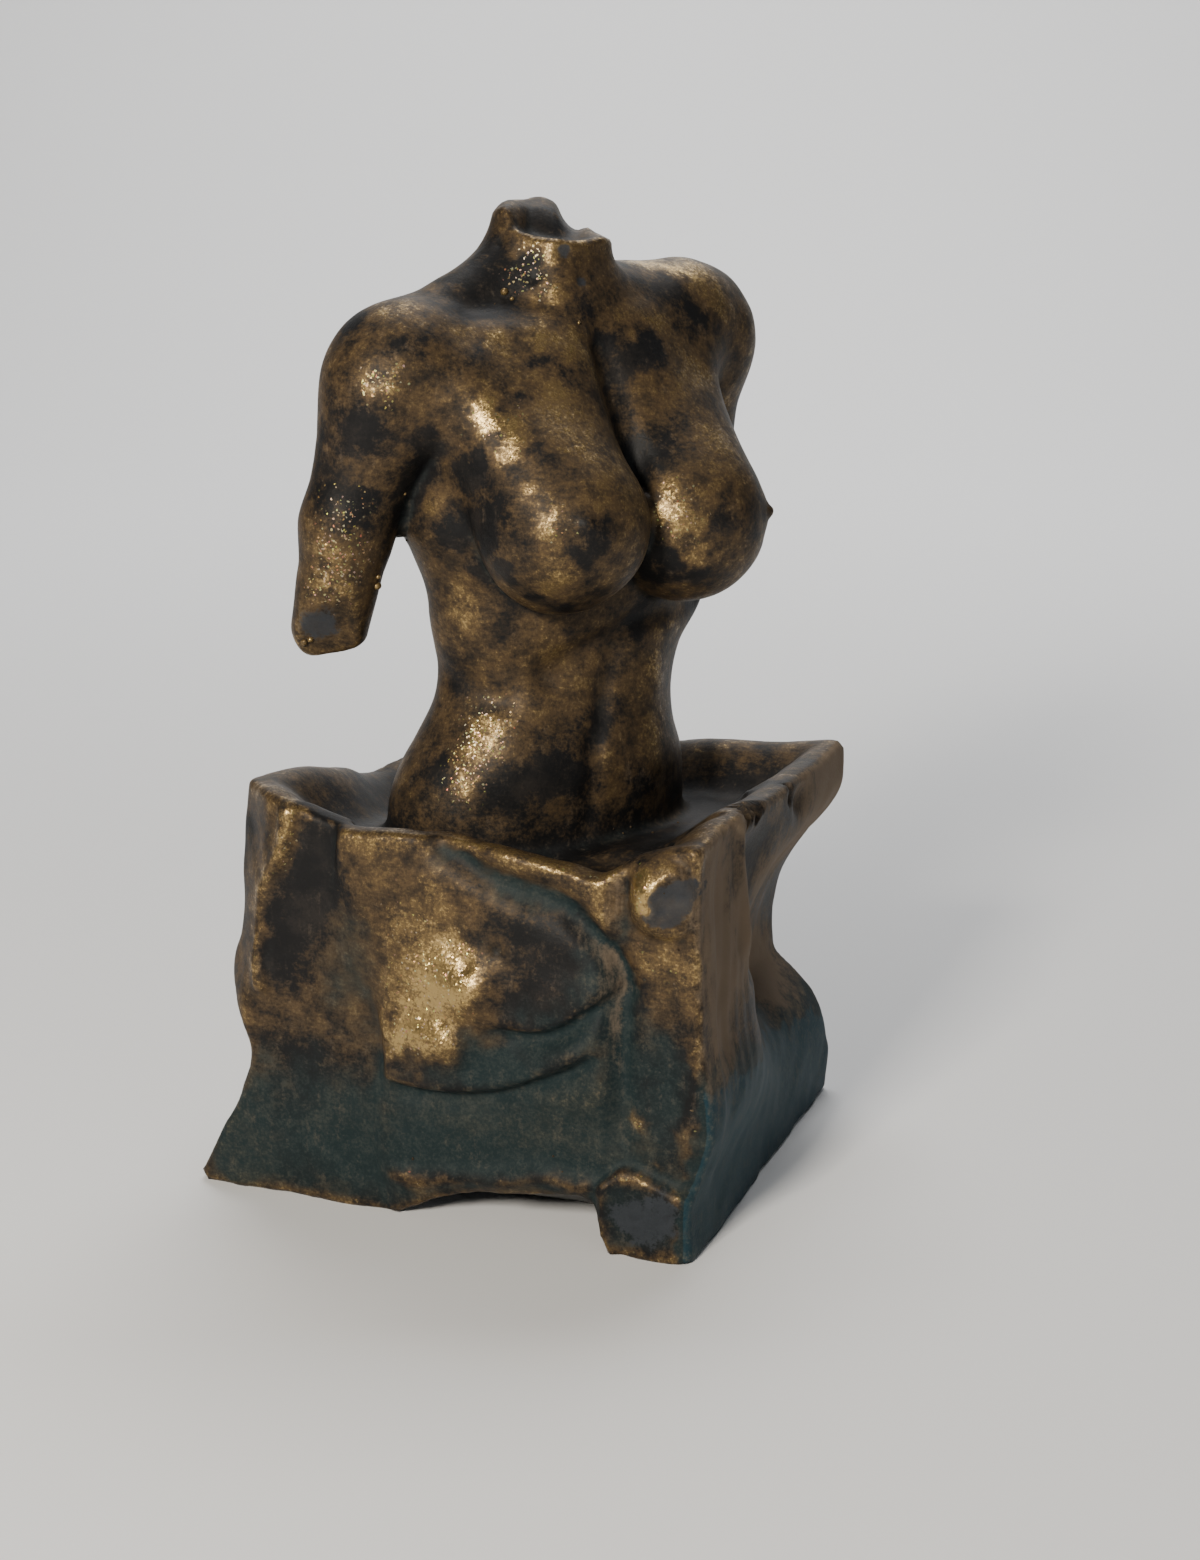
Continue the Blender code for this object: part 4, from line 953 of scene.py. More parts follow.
FIGURE_STAINS_AND_SHADE = {
    "neck": [
        (-4.8, -2.5, 46.2, 1.7, 0.5), (-5.5, 0.0, 48.4, 1.4, 0.9), (-7.0, -1.8, 44.2, 2.0, 0.9),
        (-9.9, -1.3, 43.4, 2.2, 0.8), (0.0, 1.5, 49.5, 2.4, 1.0), (-1.6, -5.6, 43.0, 1.2, 0.6),
    ],
    "left shoulder": [
        (10.6, -3.6, 44.4, 2.0, 1.1), (13.1, -5.1, 41.5, 1.2, 0.9), (17.5, 2.5, 33.0, 2.5, 0.7),
    ],
    "breastbone": [
        (1.1, -6.7, 39.5, 0.9, 0.9), (1.0, -8.0, 36.3, 1.0, 0.9), (1.2, -9.3, 33.1, 0.9, 0.8),
        (1.4, -10.7, 29.5, 0.8, 0.8), (4.6, -7.8, 39.0, 2.1, 1.1), (1.8, -8.0, 37.0, 1.4, 0.8),
    ],
    "right shoulder": [(-20.0, 2.1, 41.8, 1.8, 0.8), (-17.8, -3.9, 40.0, 1.5, 0.7)],
    "right arm": [
        (-21.5, -2.0, 33.0, 2.6, 0.8), (-23.1, 2.2, 29.3, 2.6, 0.6), (-22.1, -0.2, 26.0, 2.2, 0.7),
    ],
    # painted shade: the armpit, darkened where the arm shades the torso
    "armpit": [
        (-16.5, -3.5, 31.9, 2.0, 1.2), (-16.6, -1.5, 28.0, 1.5, 1.2), (-16.8, 0.0, 25.0, 1.4, 1.2),
    ],
    # painted shade on the right breast's outer flank, which turns away from the light
    "side of the right breast": [
        (-14.4, -8.4, 30.0, 1.6, 0.7), (-14.2, -10.0, 25.6, 1.8, 0.8), (-13.2, -10.6, 21.0, 1.8, 0.6),
    ],
    # painted shade along the crease under and beside the right breast
    "crease round the right breast": [
        (-14.4, -7.4, 29.5, 1.3, 0.6), (-14.1, -8.4, 24.6, 1.2, 0.8), (-13.3, -10.8, 21.2, 1.2, 0.9),
        (-11.4, -12.3, 19.0, 1.2, 0.9), (-8.6, -13.0, 17.6, 1.2, 0.9), (-6.2, -14.2, 18.0, 1.0, 0.6),
    ],
    "neck's left": [
        (-6.6, 1.9, 47.7, 1.8, 0.7), (-8.9, 0.2, 45.6, 2.0, 0.6), (-4.8, -3.2, 45.6, 1.3, 0.5),
    ],
    # painted shade beside the right breast, on its shaded flank
    "beside the right breast": [
        (-14.6, -6.4, 28.6, 1.4, 0.9), (-14.2, -7.2, 25.8, 1.3, 1.0), (-13.9, -7.7, 23.4, 1.3, 1.0),
        (-14.4, -4.3, 23.6, 1.8, 0.8), (-12.4, -5.9, 20.3, 1.6, 0.8),
    ],
    "right breast": [
        (-11.0, -8.8, 35.7, 1.1, 0.6), (-10.9, -12.5, 31.5, 1.3, 0.7), (-12.8, -12.0, 29.5, 0.9, 0.6),
        (-9.9, -14.9, 29.4, 1.5, 0.4), (-9.2, -17.3, 23.2, 1.9, 0.8), (-7.0, -17.7, 24.9, 2.0, 0.4),
    ],
    # the third and fourth dabs lie under the breast and are painted shade in its crease; the others are dark
    # patina
    "left breast": [
        (1.9, -11.5, 30.1, 2.0, 0.6), (5.9, -17.6, 24.5, 2.2, 0.7), (1.7, -13.9, 20.6, 1.6, 1.0),
        (4.2, -14.9, 18.9, 1.6, 0.9), (5.4, -13.2, 31.4, 2.0, 0.4),
    ],
    "upper chest": [
        (-11.6, -5.2, 38.9, 0.9, 0.5), (-7.2, -7.9, 38.7, 1.0, 0.6), (-4.7, -9.4, 37.5, 1.4, 0.7),
    ],
    # darker along the valley of the rib arch and at the waist's side
    "under the ribs": [
        (12.0, -5.5, 14.3, 1.8, 0.8), (3.8, -8.5, 13.9, 1.6, 0.8), (-12.0, -1.7, 12.1, 1.7, 0.5),
    ],
    "waist and belly": [
        (-11.1, -2.3, 8.9, 1.4, 0.7), (-0.5, -8.8, 6.0, 1.6, 0.7), (-8.9, -8.9, -0.4, 3.0, 1.1),
        (-5.3, -9.8, 1.2, 2.8, 0.9), (-14.3, -3.7, 2.0, 2.0, 0.7), (3.4, -9.9, -1.9, 2.8, 1.0),
    ],
}
FIGURE_GLITTER = {
    "neck": [(-4.6, -2.8, 47.4, 1.2, 0.7), (-5.0, -2.2, 45.2, 1.4, 0.8), (-4.0, -4.4, 44.8, 1.2, 0.7)],
    "right shoulder": [(-20.6, -3.5, 36.8, 1.6, 0.7)],
    "right stump": [
        (-22.9, 0.7, 22.3, 2.2, 0.75), (-23.1, 2.0, 18.8, 1.8, 0.85), (-22.5, 0.2, 26.0, 2.0, 0.4),
    ],
    "breasts": [
        (-13.1, -9.2, 33.5, 2.4, 0.5), (2.0, -15.4, 25.3, 2.4, 0.5), (-11.4, -16.0, 25.6, 1.6, 0.5),
    ],
    "hip": [(-10.4, -5.8, 6.4, 2.0, 0.8), (-11.9, -5.8, 4.0, 2.2, 0.8), (-13.5, -5.8, 0.9, 1.8, 0.8)],
}


def rows_in(*tables):
    """How many dabs some tables hold."""
    return sum(len(row) for table in tables for row in table.values())


def dabs(places, table):
    """The sum of soft round dabs at points. Each dab is x, y, z, its radius and its strength."""
    total = np.zeros(len(places))
    for row in table.values():
        for *centre, radius, strength in row:
            away = ((places - np.array(centre)) ** 2).sum(1) / radius**2
            total += strength * np.exp(-away)
    return total


print("dabs on the figure:", rows_in(FIGURE_RUBS_AND_HIGHLIGHTS, FIGURE_STAINS_AND_SHADE, FIGURE_GLITTER))

# %% Rubs and stains on the block, with painted highlight and painted shade among them
FRONT_RUBS_AND_HIGHLIGHTS = {
    # partly painted highlight: the strongest dabs sit on the two glints where the panel's bulges face the
    # light
    "panel": [
        (-16, 67, 7, 5, 0.1), (-9, 57, 8, 7, 0.35), (0, 48, 5, 5, 1.2), (-5, 39.5, 6, 5, 1.3),
        (-11, 35, 3.6, 4, 1.0), (-1, 54, 5, 4, 0.7), (-8, 46, 6, 6, 0.7),
    ],
    "hem": [(-10, 8, 3.4, 1.4, 0.6), (6, 9, 5, 1.0, 0.35), (19, 12.5, 3, 0.8, 0.25)],
    "knob": [(33.8, 67.4, 2.6, 4.2, 1.8), (37.5, 58.5, 3.0, 2.4, 0.5), (37, 53, 6, 4, 0.35)],
    "column": [(32.1, 24.5, 1.3, 2.4, 0.9), (36.0, 34.3, 1.4, 2.4, 0.5), (41.5, 24, 1.4, 4, 0.5)],
    "foot": [
        (32, 15.2, 4, 0.8, 1.0), (40, 12.6, 4, 0.7, 0.8), (42.7, 6, 0.7, 5, 0.4), (34, 1.5, 6, 0.8, 0.4),
    ],
    "left ridge": [
        (-34, 70, 2.2, 7, 0.7), (-39, 61, 2.0, 3, 0.6), (-41.3, 50, 1.6, 9, 0.5), (-44, 2, 10, 1.4, 0.3),
    ],
    "shelf": [(18, 71, 8, 1.6, 0.6), (28, 67.5, 5, 1.6, 0.7), (4, 73, 10, 1.0, 0.6)],
}
FRONT_STAINS_AND_SHADE = {
    # the first three dabs are painted shade in the recess beside the raised panel; the lower two are dark
    # patina
    "recess on the left": [
        (-27, 68, 4.0, 9, 1.2), (-31, 57, 4, 8, 1.0), (-36, 47, 3.4, 7, 0.8), (-30, 22, 11, 10, 0.5),
        (-31, 8, 9, 5, 0.7),
    ],
    "foot": [(34, 7, 8, 6, 0.9), (38, 30, 5, 10, 0.6)],
    "hem": [(2, 11, 16, 3.4, 0.8)],
    "under the swoosh": [
        (14, 57, 8, 5, 0.5), (16, 49, 7, 5, 0.4), (24, 53, 6, 6, 0.6), (12, 42, 5, 3, 0.5),
    ],
    "lips of the folds": [
        (-4, 28.5, 10, 2.2, 0.8), (8, 31, 8, 3, 0.8), (18, 36, 7, 3, 0.9), (20, 44, 7, 2.6, 0.7),
    ],
    "column": [(38.5, 30, 4.5, 8, 0.9), (30, 45, 3, 9, 0.5), (33, 33, 4, 4, 0.3)],
    "above the hem": [(8, 15, 18, 2.4, 0.8), (-18, 5, 6, 5, 0.7)],
    "knob": [(33, 73, 4, 1.8, 0.5)],
}
FRONT_GREENS = {
    "swoosh": [
        (0, 69.5, 6, 2.0, 0.8), (9, 65, 6, 2.4, 1.0), (18, 62.5, 5, 2.4, 1.0), (26, 56, 4, 5, 1.0),
    ],
    "folds": [
        (-4, 24, 11, 2.4, 1.1), (12, 30, 10, 4.0, 1.2), (20, 40, 9, 4.5, 1.2), (27, 48, 5, 6, 1.0),
        (6, 35, 10, 3.4, 0.8),
    ],
    "below the folds": [(4, 18, 18, 6, 1.0), (24, 26, 7, 9, 1.0), (35, 36, 8, 9, 0.8)],
    "left": [(-20, 52, 5, 8, 0.6), (-24, 42, 6, 6, 0.6), (-24, 12, 12, 8, 0.7), (-46, 10, 6, 12, 1.3)],
}
CHIPS = {
    "knob": [(39.6, 66.6, 4.0, 4.4, 1.3), (37.6, 62.4, 3.0, 2.4, 0.9)],
    "foot": [(34.5, 7.4, 8.0, 5.4, 1.3)],
}
RIGHT_DUSTS = {
    "front strip": [(-36, 64, 10, 12, 1.0), (-32, 50, 10, 12, 1.0), (-34, 38, 9, 9, 0.8)],
    "thin ridge": [(-22, 62, 2.4, 12, 0.9), (-17, 48, 5, 9, 0.9)],
    "cavity": [(2, 56, 8, 10, 0.8), (20, 56, 12, 12, 1.0), (34, 62, 9, 12, 0.9)],
    "lump behind": [(6, 39, 9, 6, 1.1), (20, 34, 12, 7, 1.1), (-4, 34, 7, 7, 0.9), (30, 29, 11, 7, 1.2)],
    "rim": [(-24, 75, 16, 3, 0.7), (0, 75, 12, 3, 0.5), (22, 74, 14, 6, 0.7), (40, 70, 10, 10, 0.8)],
}
RIGHT_STAINS_AND_SHADE = {
    # painted shadow: the hollow behind the thin ridge and the casting holes, darkened as they lie in shade
    "cavity": [
        (-12, 60, 6, 11, 1.4), (-12, 48, 3, 3, 1.0), (-6, 41.6, 2.2, 2.2, 1.2),
        (-4.5, 36.4, 2.6, 2.6, 1.4),
    ],
    "rim": [(8, 71, 4, 3, 1.2), (-8, 72, 3, 4, 0.7), (20, 66, 10, 5, 0.6)],
}


def face_dabs(places, table, face="front"):
    """The sum of soft oval dabs on a face of the block. Each is its middle, its reaches and its strength."""
    side, back, up = (places / MM).T
    if face == "front":
        on_face, across = steps_between(-36.0, -41.0, back), side
    else:
        on_face, across = steps_between(16.0, 24.0, side), back
    total = np.zeros(len(places))
    for row in table.values():
        for centre_across, centre_up, wide, tall, strength in row:
            total += strength * hump(across, up, (centre_across, centre_up), (wide, tall))
    return total * on_face


front_rows = rows_in(FRONT_RUBS_AND_HIGHLIGHTS, FRONT_STAINS_AND_SHADE, FRONT_GREENS, CHIPS)
print("dabs on the block:", front_rows, "in front and", rows_in(RIGHT_DUSTS, RIGHT_STAINS_AND_SHADE), "on the right")

# %% Put the finish's maps on the skin
DRIFT = 1.2 * MM
FRONT_GLITTER = 0.35
BLOCK_SHADE = 0.35
# Green towards the bottom of the block and low on its right side: partly green patina, partly a painted
# reflection of blue surroundings.
LOW_GREEN_AND_BLUE_REFLECTION = 0.60
RIGHT_GREEN_AND_BLUE_REFLECTION = 2.8


def drifted(places, reach):
    """Places pushed about by up to reach metres, so that round dabs come out ragged."""
    points = places / MM
    push = []
    for shift in (0.0, 40.0, 80.0):
        push.append(hand_work(points * 1.4 + shift) + 0.7 * hand_work(points * 3.3 - shift))
    return places + reach * np.stack(push, 1)


def near_spot(places, centre, reach):
    """1 at a spot and fading out around it."""
    return np.exp(-((np.linalg.norm(places - centre, axis=1) / reach) ** 2))


def finish_maps(data):
    """Stores where the skin is rubbed or carries painted highlight, stained or painted with shade, green or
    tinted with a painted blue reflection, chipped, dusty, glittering and hollow.
    """
    still_places = Skin(data).places
    still_own = to_figure(still_places)
    places = drifted(still_places, DRIFT)
    own = to_figure(places)
    side, back, up = (places / MM).T
    on_figure = steps_between(-3.0, 1.5, own[:, 2])
    # rubs, partly painted highlight where the light glints on the breasts, the hip and the panel
    front_rub_and_highlight = face_dabs(places, FRONT_RUBS_AND_HIGHLIGHTS)
    rub_and_highlight = on_figure * dabs(own, FIGURE_RUBS_AND_HIGHLIGHTS) + front_rub_and_highlight
    glitter = on_figure * dabs(own, FIGURE_GLITTER) + FRONT_GLITTER * np.clip(front_rub_and_highlight, 0, 1)
    # stains, with painted shade in the creases, the armpit, the recess left of the panel and the right
    # side's cavity among them
    stain_and_shade = on_figure * dabs(own, FIGURE_STAINS_AND_SHADE) + face_dabs(places, FRONT_STAINS_AND_SHADE)
    stain_and_shade += face_dabs(places, RIGHT_STAINS_AND_SHADE, "right")
    # painted shade: the block darker below its rim everywhere but on its front face
    stain_and_shade += BLOCK_SHADE * steps_between(76.0, 66.0, up) * steps_between(-44.0, -38.0, back)
    facing = normals_of(data)
    faces_right = steps_between(0.15, 0.65, facing[:, 0] + 0.5 * np.clip(facing[:, 1], 0, 1))
    dust = face_dabs(places, RIGHT_DUSTS, "right") * faces_right
    past_front = side - 15.0 * steps_between(-36.0, -41.0, back)
    # partly green patina, partly painted reflection of blue surroundings: more green low on the block, most
    # low on its right side
    below_green_and_reflection_line = steps_between(39.0, 27.0, up + 0.17 * (back + 40.0))
    green = face_dabs(places, FRONT_GREENS) + LOW_GREEN_AND_BLUE_REFLECTION * steps_between(40.0, 22.0, up)
    green += steps_between(16.0, 24.0, past_front) * faces_right * RIGHT_GREEN_AND_BLUE_REFLECTION * below_green_and_reflection_line
    chip = face_dabs(places, CHIPS) + 1.1 * near_spot(still_own, SCAR_PLACE, 2.5)
    for centre, radius, _ in BARE_DENTS:
        chip += 1.6 * near_spot(still_own, centre, 1.2 * radius)
    for name, values in {
        "glitter": glitter, "rub_and_highlight": rub_and_highlight, "stain_and_shade": stain_and_shade, "green": green, "chip": chip, "dust": dust,
        "hollow": np.clip(fine_hollow * 3.0, -1, 1), "broad_hollow": np.clip(broad_hollow * 0.8, -1, 1),
    }.items():
        keep_attribute(data, name, values)
        print(name, "from", round(float(values.min()), 2), "to", round(float(values.max()), 2))


finish_maps(skin_mesh)

# %% [markdown]
# ## Shader arithmetic
#
# A finish like this is a sum of masks, and sums read best as Python. `Value` wraps a socket so that
# `1 - mask * 2` adds the Math nodes it needs, and `node` makes any other node, in a material or in a
# geometry tree.

# %% Nodes as expressions


class Value:
    """A socket that can take part in arithmetic."""

    def __init__(self, bench, socket):
        self.bench = bench
        self.socket = socket

    def math(self, operation, first, second):
        return self.bench.node("ShaderNodeMath", {"operation": operation}, {0: first, 1: second})

    def __add__(self, other):
        return self.math("ADD", self, other)

    def __sub__(self, other):
        return self.math("SUBTRACT", self, other)

    def __rsub__(self, other):
        return self.math("SUBTRACT", other, self)

    def __mul__(self, other):
        return self.math("MULTIPLY", self, other)

    __radd__ = __add__
    __rmul__ = __mul__


class Bench:
    """Adds nodes to a tree."""

    def __init__(self, tree):
        self.tree = tree

    def node(self, kind, settings=None, inputs=None, output=0):
        """Adds a node: its settings first, then the values or links of its sockets."""
        made = self.tree.nodes.new(kind)
        for name, setting in (settings or {}).items():
            setattr(made, name, setting)
        for name, given in (inputs or {}).items():
            self.feed(made.inputs[name], given)
        return Value(self, made.outputs[output])

    def feed(self, socket, given):
        """Links a value to a socket, or sets the socket."""
        if isinstance(given, Value):
            self.tree.links.new(given.socket, socket)
        else:
            socket.default_value = given


class Shade(Bench):
    """Builds one material's nodes."""

    def __init__(self, name):
        self.material = bpy.data.materials.new(name)
        self.material.use_nodes = True
        super().__init__(self.material.node_tree)
        self.shader = self.tree.nodes["Principled BSDF"]

    def attribute(self, name):
        """A number stored on the mesh."""
        return self.node("ShaderNodeAttribute", {"attribute_name": name}, output="Fac")

    def smooth(self, value, low, high):
        """0 below low, 1 above high and a smooth step between."""
        inputs = {"Value": value, "From Min": low, "From Max": high}
        return self.node("ShaderNodeMapRange", {"interpolation_type": "SMOOTHSTEP"}, inputs)

    def mix(self, share, first, second):
        """One colour over another."""
        return self.node("ShaderNodeMix", {"data_type": "RGBA"}, {0: share, 6: first, 7: second}, output=2)

    def vector(self, operation, inputs):
        """Vector arithmetic."""
        return self.node("ShaderNodeVectorMath", {"operation": operation}, inputs)


print("arithmetic ready:", Value.__name__, Shade.__name__)

# %% [markdown]
# ## The patina
#
# From below up: a nearly black ground, a thin brown haze of bronze powder, bright rubbed metal in ragged
# islands, in places painted highlight, dark stains, in places painted shade, green in the hollows and low
# on the block, partly a painted reflection of blue surroundings that turns blue low on the right side,
# dust on the right side, and bare blue-grey chips. All the noises are in millimetres. The powder is
# coarse enough to glint one grain at a time, so each tiny cell of the surface tips its own way, and where
# the finish glitters some cells are whole flakes of coloured metal.

# %% The patina's material
BLACK = (0.0075, 0.0075, 0.0080, 1)
SOOT = (0.0185, 0.0160, 0.0145, 1)
UMBER = (0.034, 0.0250, 0.0165, 1)
BROWN = (0.080, 0.052, 0.0265, 1)
OCHRE = (0.180, 0.122, 0.055, 1)
GOLD = (0.50, 0.35, 0.145, 1)
GREEN = (0.009, 0.019, 0.021, 1)
PALE_GREEN = (0.025, 0.035, 0.034, 1)
# painted reflection of blue surroundings, laid as colour low on the block's right side
REFLECTED_BLUE = (0.010, 0.036, 0.050, 1)
PALE_REFLECTED_BLUE = (0.028, 0.054, 0.062, 1)
SLATE = (0.027, 0.031, 0.037, 1)
DUST = (0.165, 0.122, 0.083, 1)
FLAKE_SIZE = 0.30
BRUSH = ((0.4, 0.8, 0.5), (0.30, 1.0, 1.4))
RUNS = ((0.0, 0.0, 0.0), (1.0, 1.0, 0.16))
SHEEN = 0.14


def noise(shade, position, size, detail=4.0, roughness=0.6, stretch=None):
    """A cloudy noise about 0, with grains about size millimetres wide. stretch is a turn and a scale."""
    if stretch:
        turned = {"Vector": position, "Rotation": stretch[0], "Scale": stretch[1]}
        position = shade.node("ShaderNodeMapping", {}, turned)
    inputs = {"Vector": position, "Scale": 1.0 / (size * MM), "Detail": detail, "Roughness": roughness}
    return shade.node("ShaderNodeTexNoise", {}, inputs) - 0.5


def patina():
    """The finish of the whole casting."""
    shade = Shade("bronze_patina")
    position = shade.node("ShaderNodeTexCoord", output="Object")
    maps = ("rub_and_highlight", "stain_and_shade", "green", "chip", "hollow", "broad_hollow", "dust", "glitter")
    rub_and_highlight, stain_and_shade, green, chip, hollow, broad, dust, glitter = (shade.attribute(name) for name in maps)

    cloud = noise(shade, position, 8.0, 5.0, 0.62)
    mottle = noise(shade, position, 4.0, 7.0, 0.7)
    island = noise(shade, position, 2.4, 7.0, 0.68)
    grain = noise(shade, position, 0.6, 4.0, 0.7)
    brush = noise(shade, position, 1.0, stretch=BRUSH)
    streak = noise(shade, position, 1.5, stretch=RUNS)

    # rubs and stains together, with the painted highlight and painted shade among them, lighten and darken
    # the cover; the hollows stay dark and the edges bright
    hand = rub_and_highlight * 0.42 - stain_and_shade * 0.50 - hollow * (0.03 + island * 0.7) - broad * 0.10
    cover = cloud * 0.62 + island * 0.74 + grain * 0.24 + brush * 0.24 + hand + 0.02
    haze = shade.smooth(cover + grain * 0.1, -0.24, 0.14)
    ochre = shade.smooth(cover + grain * 0.2, 0.07, 0.33)
    gold = shade.smooth(cover + grain * 0.8, 0.27, 0.58)

    ground = shade.mix(shade.smooth(cloud + grain * 0.4, -0.1, 0.2), BLACK, SOOT)
    brown = shade.mix(shade.smooth(mottle + brush * 0.25, -0.22, 0.14), UMBER, BROWN)
    colour = shade.mix(haze * 0.95, ground, brown)
    colour = shade.mix(ochre * 0.75, colour, OCHRE)
    colour = shade.mix(gold * 0.8, colour, GOLD)

    tone = shade.smooth(island * 0.7 + grain * 0.6, -0.12, 0.22)
    damp = green * 0.62 + island * 0.5 + grain * 0.2 + cloud * 0.3 + hollow * 0.3 - rub_and_highlight * 0.35
    moss = shade.smooth(damp, 0.06, 0.72)
    # deep is where the painted reflection of blue surroundings, low on the right side, turns the green blue
    deep = shade.smooth(green, 2.2, 2.8)
    pale, dark = shade.mix(deep, PALE_GREEN, PALE_REFLECTED_BLUE), shade.mix(deep, GREEN, REFLECTED_BLUE)
    colour = shade.mix(moss * 0.88, colour, shade.mix(tone, dark, pale))
    powder = shade.smooth(dust * 0.8 + streak * 0.9 + island * 0.7 + grain * 0.3, 0.05, 0.80)
    colour = shade.mix(powder * 0.85, colour, DUST)
    bare = shade.smooth(chip + island * 1.3 + grain * 0.4, 0.60, 0.90)
    colour = shade.mix(bare * (0.84 + island * 0.9), colour, SLATE)

    cells = {"Vector": position, "Scale": 1.0 / (FLAKE_SIZE * MM)}
    cell = shade.node("ShaderNodeTexVoronoi", {}, cells, output="Color")
    split = ("ShaderNodeSeparateColor", {}, {"Color": cell})
    chance, hue, depth = (shade.node(*split, output=place) for place in range(3))
    open_metal = (1 - bare) * (1 - powder)
    flake = shade.smooth(chance + glitter * 0.24, 1.0, 1.06) * open_metal * (1 - moss)
    flake_metal = {"Red": hue * 0.17 + 0.02, "Green": depth * 0.45 + 0.35, "Blue": 0.50}
    flake_metal = shade.node("ShaderNodeCombineColor", {"mode": "HSV"}, flake_metal)
    tinted = shade.mix(flake * 0.9, colour, flake_metal)
    tilt = shade.vector("SUBTRACT", {0: cell, 1: (0.5, 0.5, 0.5)})
    tilt = shade.vector("SCALE", {0: tilt, "Scale": ochre * 0.16 + flake * 0.35 + 0.05})
    height = grain * 0.05 + brush * 0.05 + island * 0.06
    bumped = shade.node("ShaderNodeBump", {}, {"Strength": 0.8, "Distance": 1.0 * MM, "Height": height})
    normal = shade.vector("NORMALIZE", {0: shade.vector("ADD", {0: bumped, 1: tilt})})

    metal = (haze * 0.18 + ochre * 0.42 + gold * 0.35) * (1 - moss * 0.9) * open_metal + flake * 0.9
    dull = 0.50 - ochre * 0.12 - gold * 0.07 + moss * 0.1 + powder * 0.3 + grain * 0.2
    sockets = {"Base Color": tinted, "Metallic": metal, "Roughness": dull, "Normal": normal}
    for name, given in {**sockets, "Specular IOR Level": SHEEN}.items():
        shade.feed(shade.shader.inputs[name], given)
    return shade.material


bronze = patina()
skin_mesh.materials.append(bronze)
print("nodes in the patina:", len(bronze.node_tree.nodes))

# %% [markdown]
# ## Casting beads
#
# Where the poured casting filled bubbles in the mould it left beads, and a drip hangs from the stump.
# Beads are one shape many times over, which is what Geometry Nodes is for. A cloud of points says where
# each sits and how big it is: some are listed one by one, and the rest lie at random in the hollows.

# %% Where the beads sit
PLACED_BEADS = [
    ((-6.7, -2.0, 44.2), 0.75), ((-6.3, -2.6, 43.5), 0.40), ((-18.4, 0.9, 18.7), 0.80),
    ((-18.6, 0.7, 19.6), 0.45), ((-24.2, 3.4, 13.4), 0.60), ((-24.8, 3.6, 12.9), 0.75),
    ((-17.2, -0.4, 27.4), 0.35), ((-2.2, -6.9, 41.6), 0.35),
]
LOOSE_BEADS = 46
LOOSE_BEAD_RADII = (0.12, 0.30)
HOLLOW_ENOUGH = 0.06
ABOVE_TABLE = 3 * MM
UNEVENNESS = 0.22
BEAD_SEED = 11


def from_figure(own):
    """Places on the object, in metres, of points in life centimetres. The reverse of to_figure."""
    turn = HIP_TURN + (CHEST_TURN - HIP_TURN) * steps_between(0.0, 22.0, own[:, 2])
    side, back = own[:, 0], own[:, 1]
    across, through = side * np.cos(turn) - back * np.sin(turn), side * np.sin(turn) + back * np.cos(turn)
    return np.stack([across, through, own[:, 2]], 1) * LIFE + FIGURE_PLACE


def bead_cloud():
    """A mesh of single points, each with its bead's radius in metres."""
    placed = from_figure(np.array([place for place, _ in PLACED_BEADS]))
    for _ in range(4):
        distance = casting(placed)
        placed = placed - distance[:, None] * slope_of(casting, placed, distance, PROBE)
    chooser = np.random.default_rng(BEAD_SEED)
    skin = Skin(skin_mesh)
    hollows = np.flatnonzero((fine_hollow > HOLLOW_ENOUGH) & (skin.places[:, 2] > ABOVE_TABLE))
    loose = skin.places[chooser.choice(hollows, LOOSE_BEADS, replace=False)]
    radii = [radius for _, radius in PLACED_BEADS] + list(chooser.uniform(*LOOSE_BEAD_RADII, LOOSE_BEADS))
    cloud = bpy.data.meshes.new("bead_cloud")
    cloud.from_pydata(np.concatenate([placed, loose]).tolist(), [], [])
    keep_attribute(cloud, "bead_radius", np.array(radii) * MM)
    keep_attribute(cloud, "rub_and_highlight", np.array([0.9] * len(PLACED_BEADS) + [0.0] * LOOSE_BEADS))
    return cloud


# %% [markdown]
# The tree puts a ball of forty faces on each point, squeezed and turned by a seeded random amount so that
# no two are alike, makes them real and gives them the patina.

# %% The bead tree


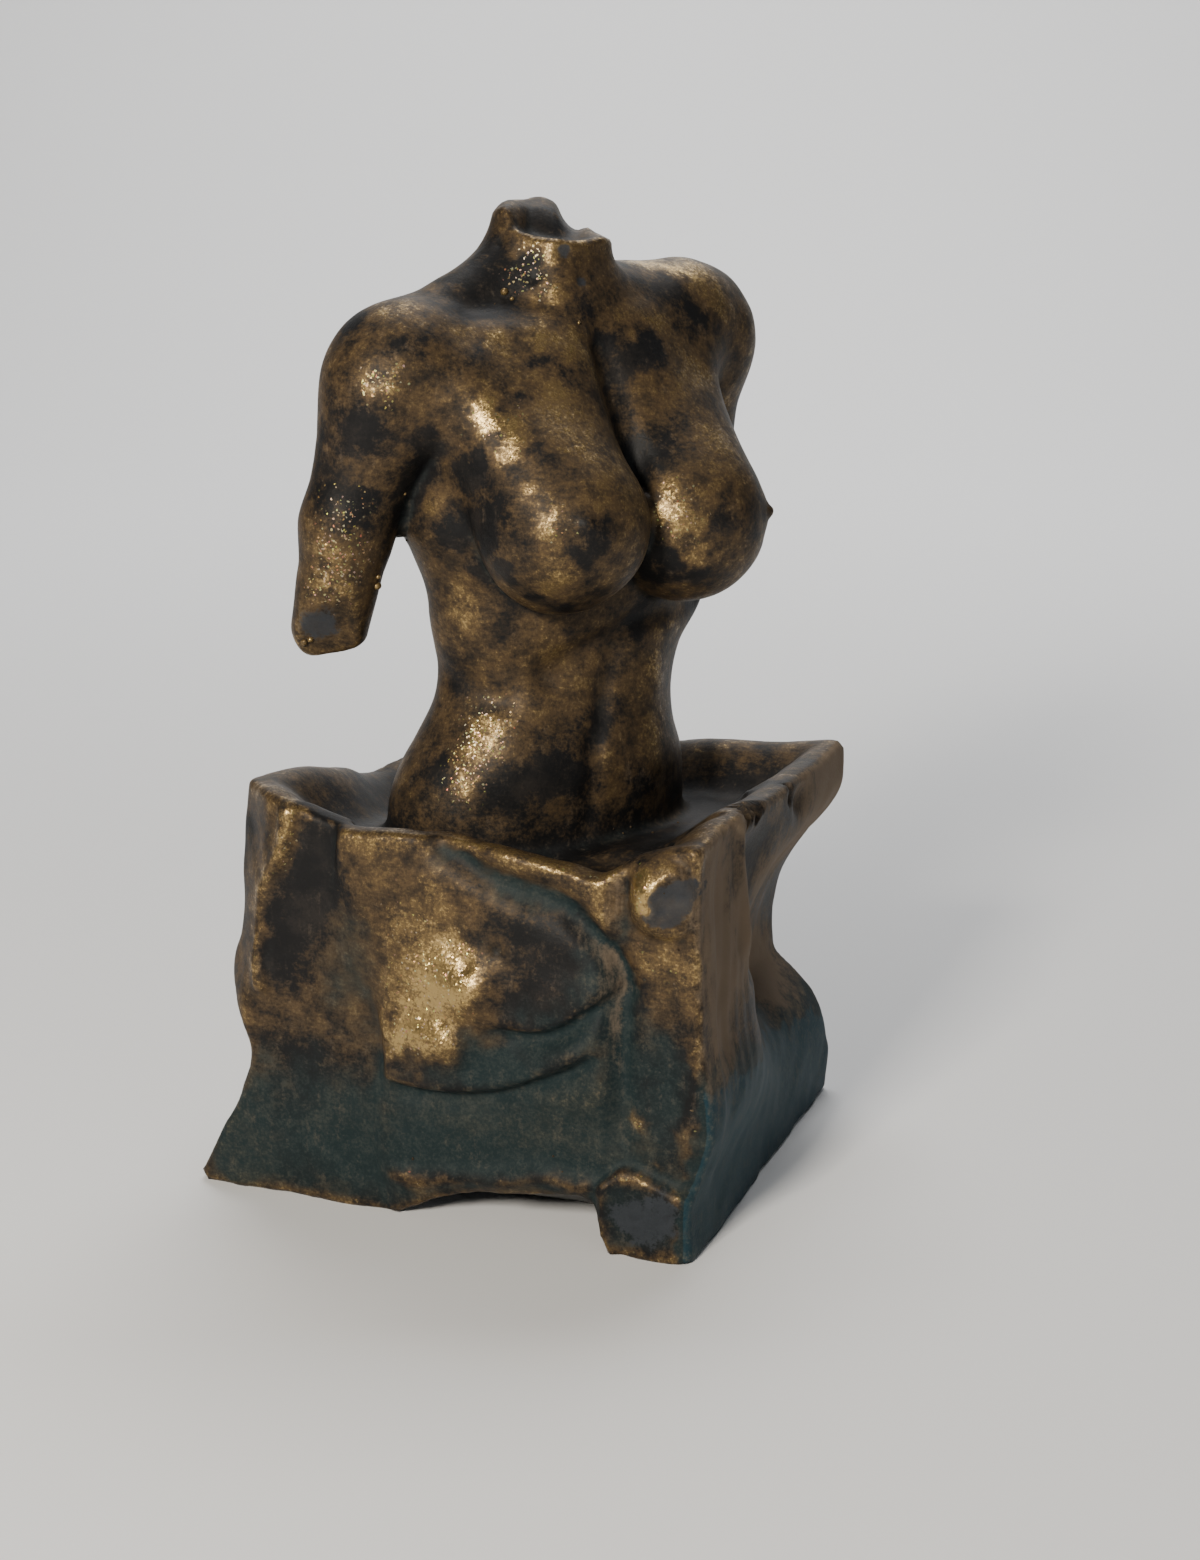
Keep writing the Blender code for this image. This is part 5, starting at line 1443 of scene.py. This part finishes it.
def bead_tree():
    """One uneven ball on each point."""
    tree = bpy.data.node_groups.new("casting_beads", "GeometryNodeTree")
    sockets = {
        "Points": "NodeSocketGeometry", "Unevenness": "NodeSocketFloat",
        "Seed": "NodeSocketInt", "Finish": "NodeSocketMaterial",
    }
    for name, kind in sockets.items():
        tree.interface.new_socket(name, in_out="INPUT", socket_type=kind)
    tree.interface.new_socket("Beads", in_out="OUTPUT", socket_type="NodeSocketGeometry")
    bench = Bench(tree)
    given = tree.nodes.new("NodeGroupInput").outputs
    points, unevenness, seed, finish = (Value(bench, given[name]) for name in sockets)
    ball = bench.node("GeometryNodeMeshUVSphere", {}, {"Segments": 8, "Rings": 5, "Radius": 1.0})
    radius = bench.node("GeometryNodeInputNamedAttribute", {"data_type": "FLOAT"}, {"Name": "bead_radius"})
    least = bench.node("ShaderNodeCombineXYZ", {}, {axis: 1 - unevenness for axis in "XYZ"})
    most = bench.node("ShaderNodeCombineXYZ", {}, {axis: 1 + unevenness for axis in "XYZ"})
    random_vector = ("FunctionNodeRandomValue", {"data_type": "FLOAT_VECTOR"})
    size = bench.node(*random_vector, {0: least, 1: most, "Seed": seed})
    size = bench.node("ShaderNodeVectorMath", {"operation": "SCALE"}, {0: size, "Scale": radius})
    turn = bench.node(*random_vector, {0: (0, 0, 0), 1: [math.tau] * 3, "Seed": seed + 1})
    beads = {"Points": points, "Instance": ball, "Rotation": turn, "Scale": size}
    beads = bench.node("GeometryNodeInstanceOnPoints", {}, beads)
    beads = bench.node("GeometryNodeRealizeInstances", {}, {"Geometry": beads})
    beads = bench.node("GeometryNodeSetShadeSmooth", {}, {"Geometry": beads})
    beads = bench.node("GeometryNodeSetMaterial", {}, {"Geometry": beads, "Material": finish})
    bench.feed(tree.nodes.new("NodeGroupOutput").inputs["Beads"], beads)
    return tree


def made_beads():
    """The beads as a plain mesh on an object of their own."""
    beads = bpy.data.objects.new("casting_beads", bead_cloud())
    bpy.context.scene.collection.objects.link(beads)
    modifier = beads.modifiers.new("beads", "NODES")
    modifier.node_group = bead_tree()
    settings = {"Unevenness": UNEVENNESS, "Seed": BEAD_SEED, "Finish": bronze}
    for socket in modifier.node_group.interface.items_tree:
        if socket.name in settings:
            modifier[socket.identifier] = settings[socket.name]
    graph = bpy.context.evaluated_depsgraph_get()
    plain = bpy.data.meshes.new_from_object(beads.evaluated_get(graph))
    beads.modifiers.remove(modifier)
    beads.data = plain
    return beads


casting_beads = made_beads()
print("beads:", len(PLACED_BEADS) + LOOSE_BEADS, "with", len(casting_beads.data.polygons), "faces")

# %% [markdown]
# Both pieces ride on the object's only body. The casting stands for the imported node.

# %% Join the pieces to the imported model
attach(casting_object, "root")
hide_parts(NODE)
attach(casting_beads, "root")
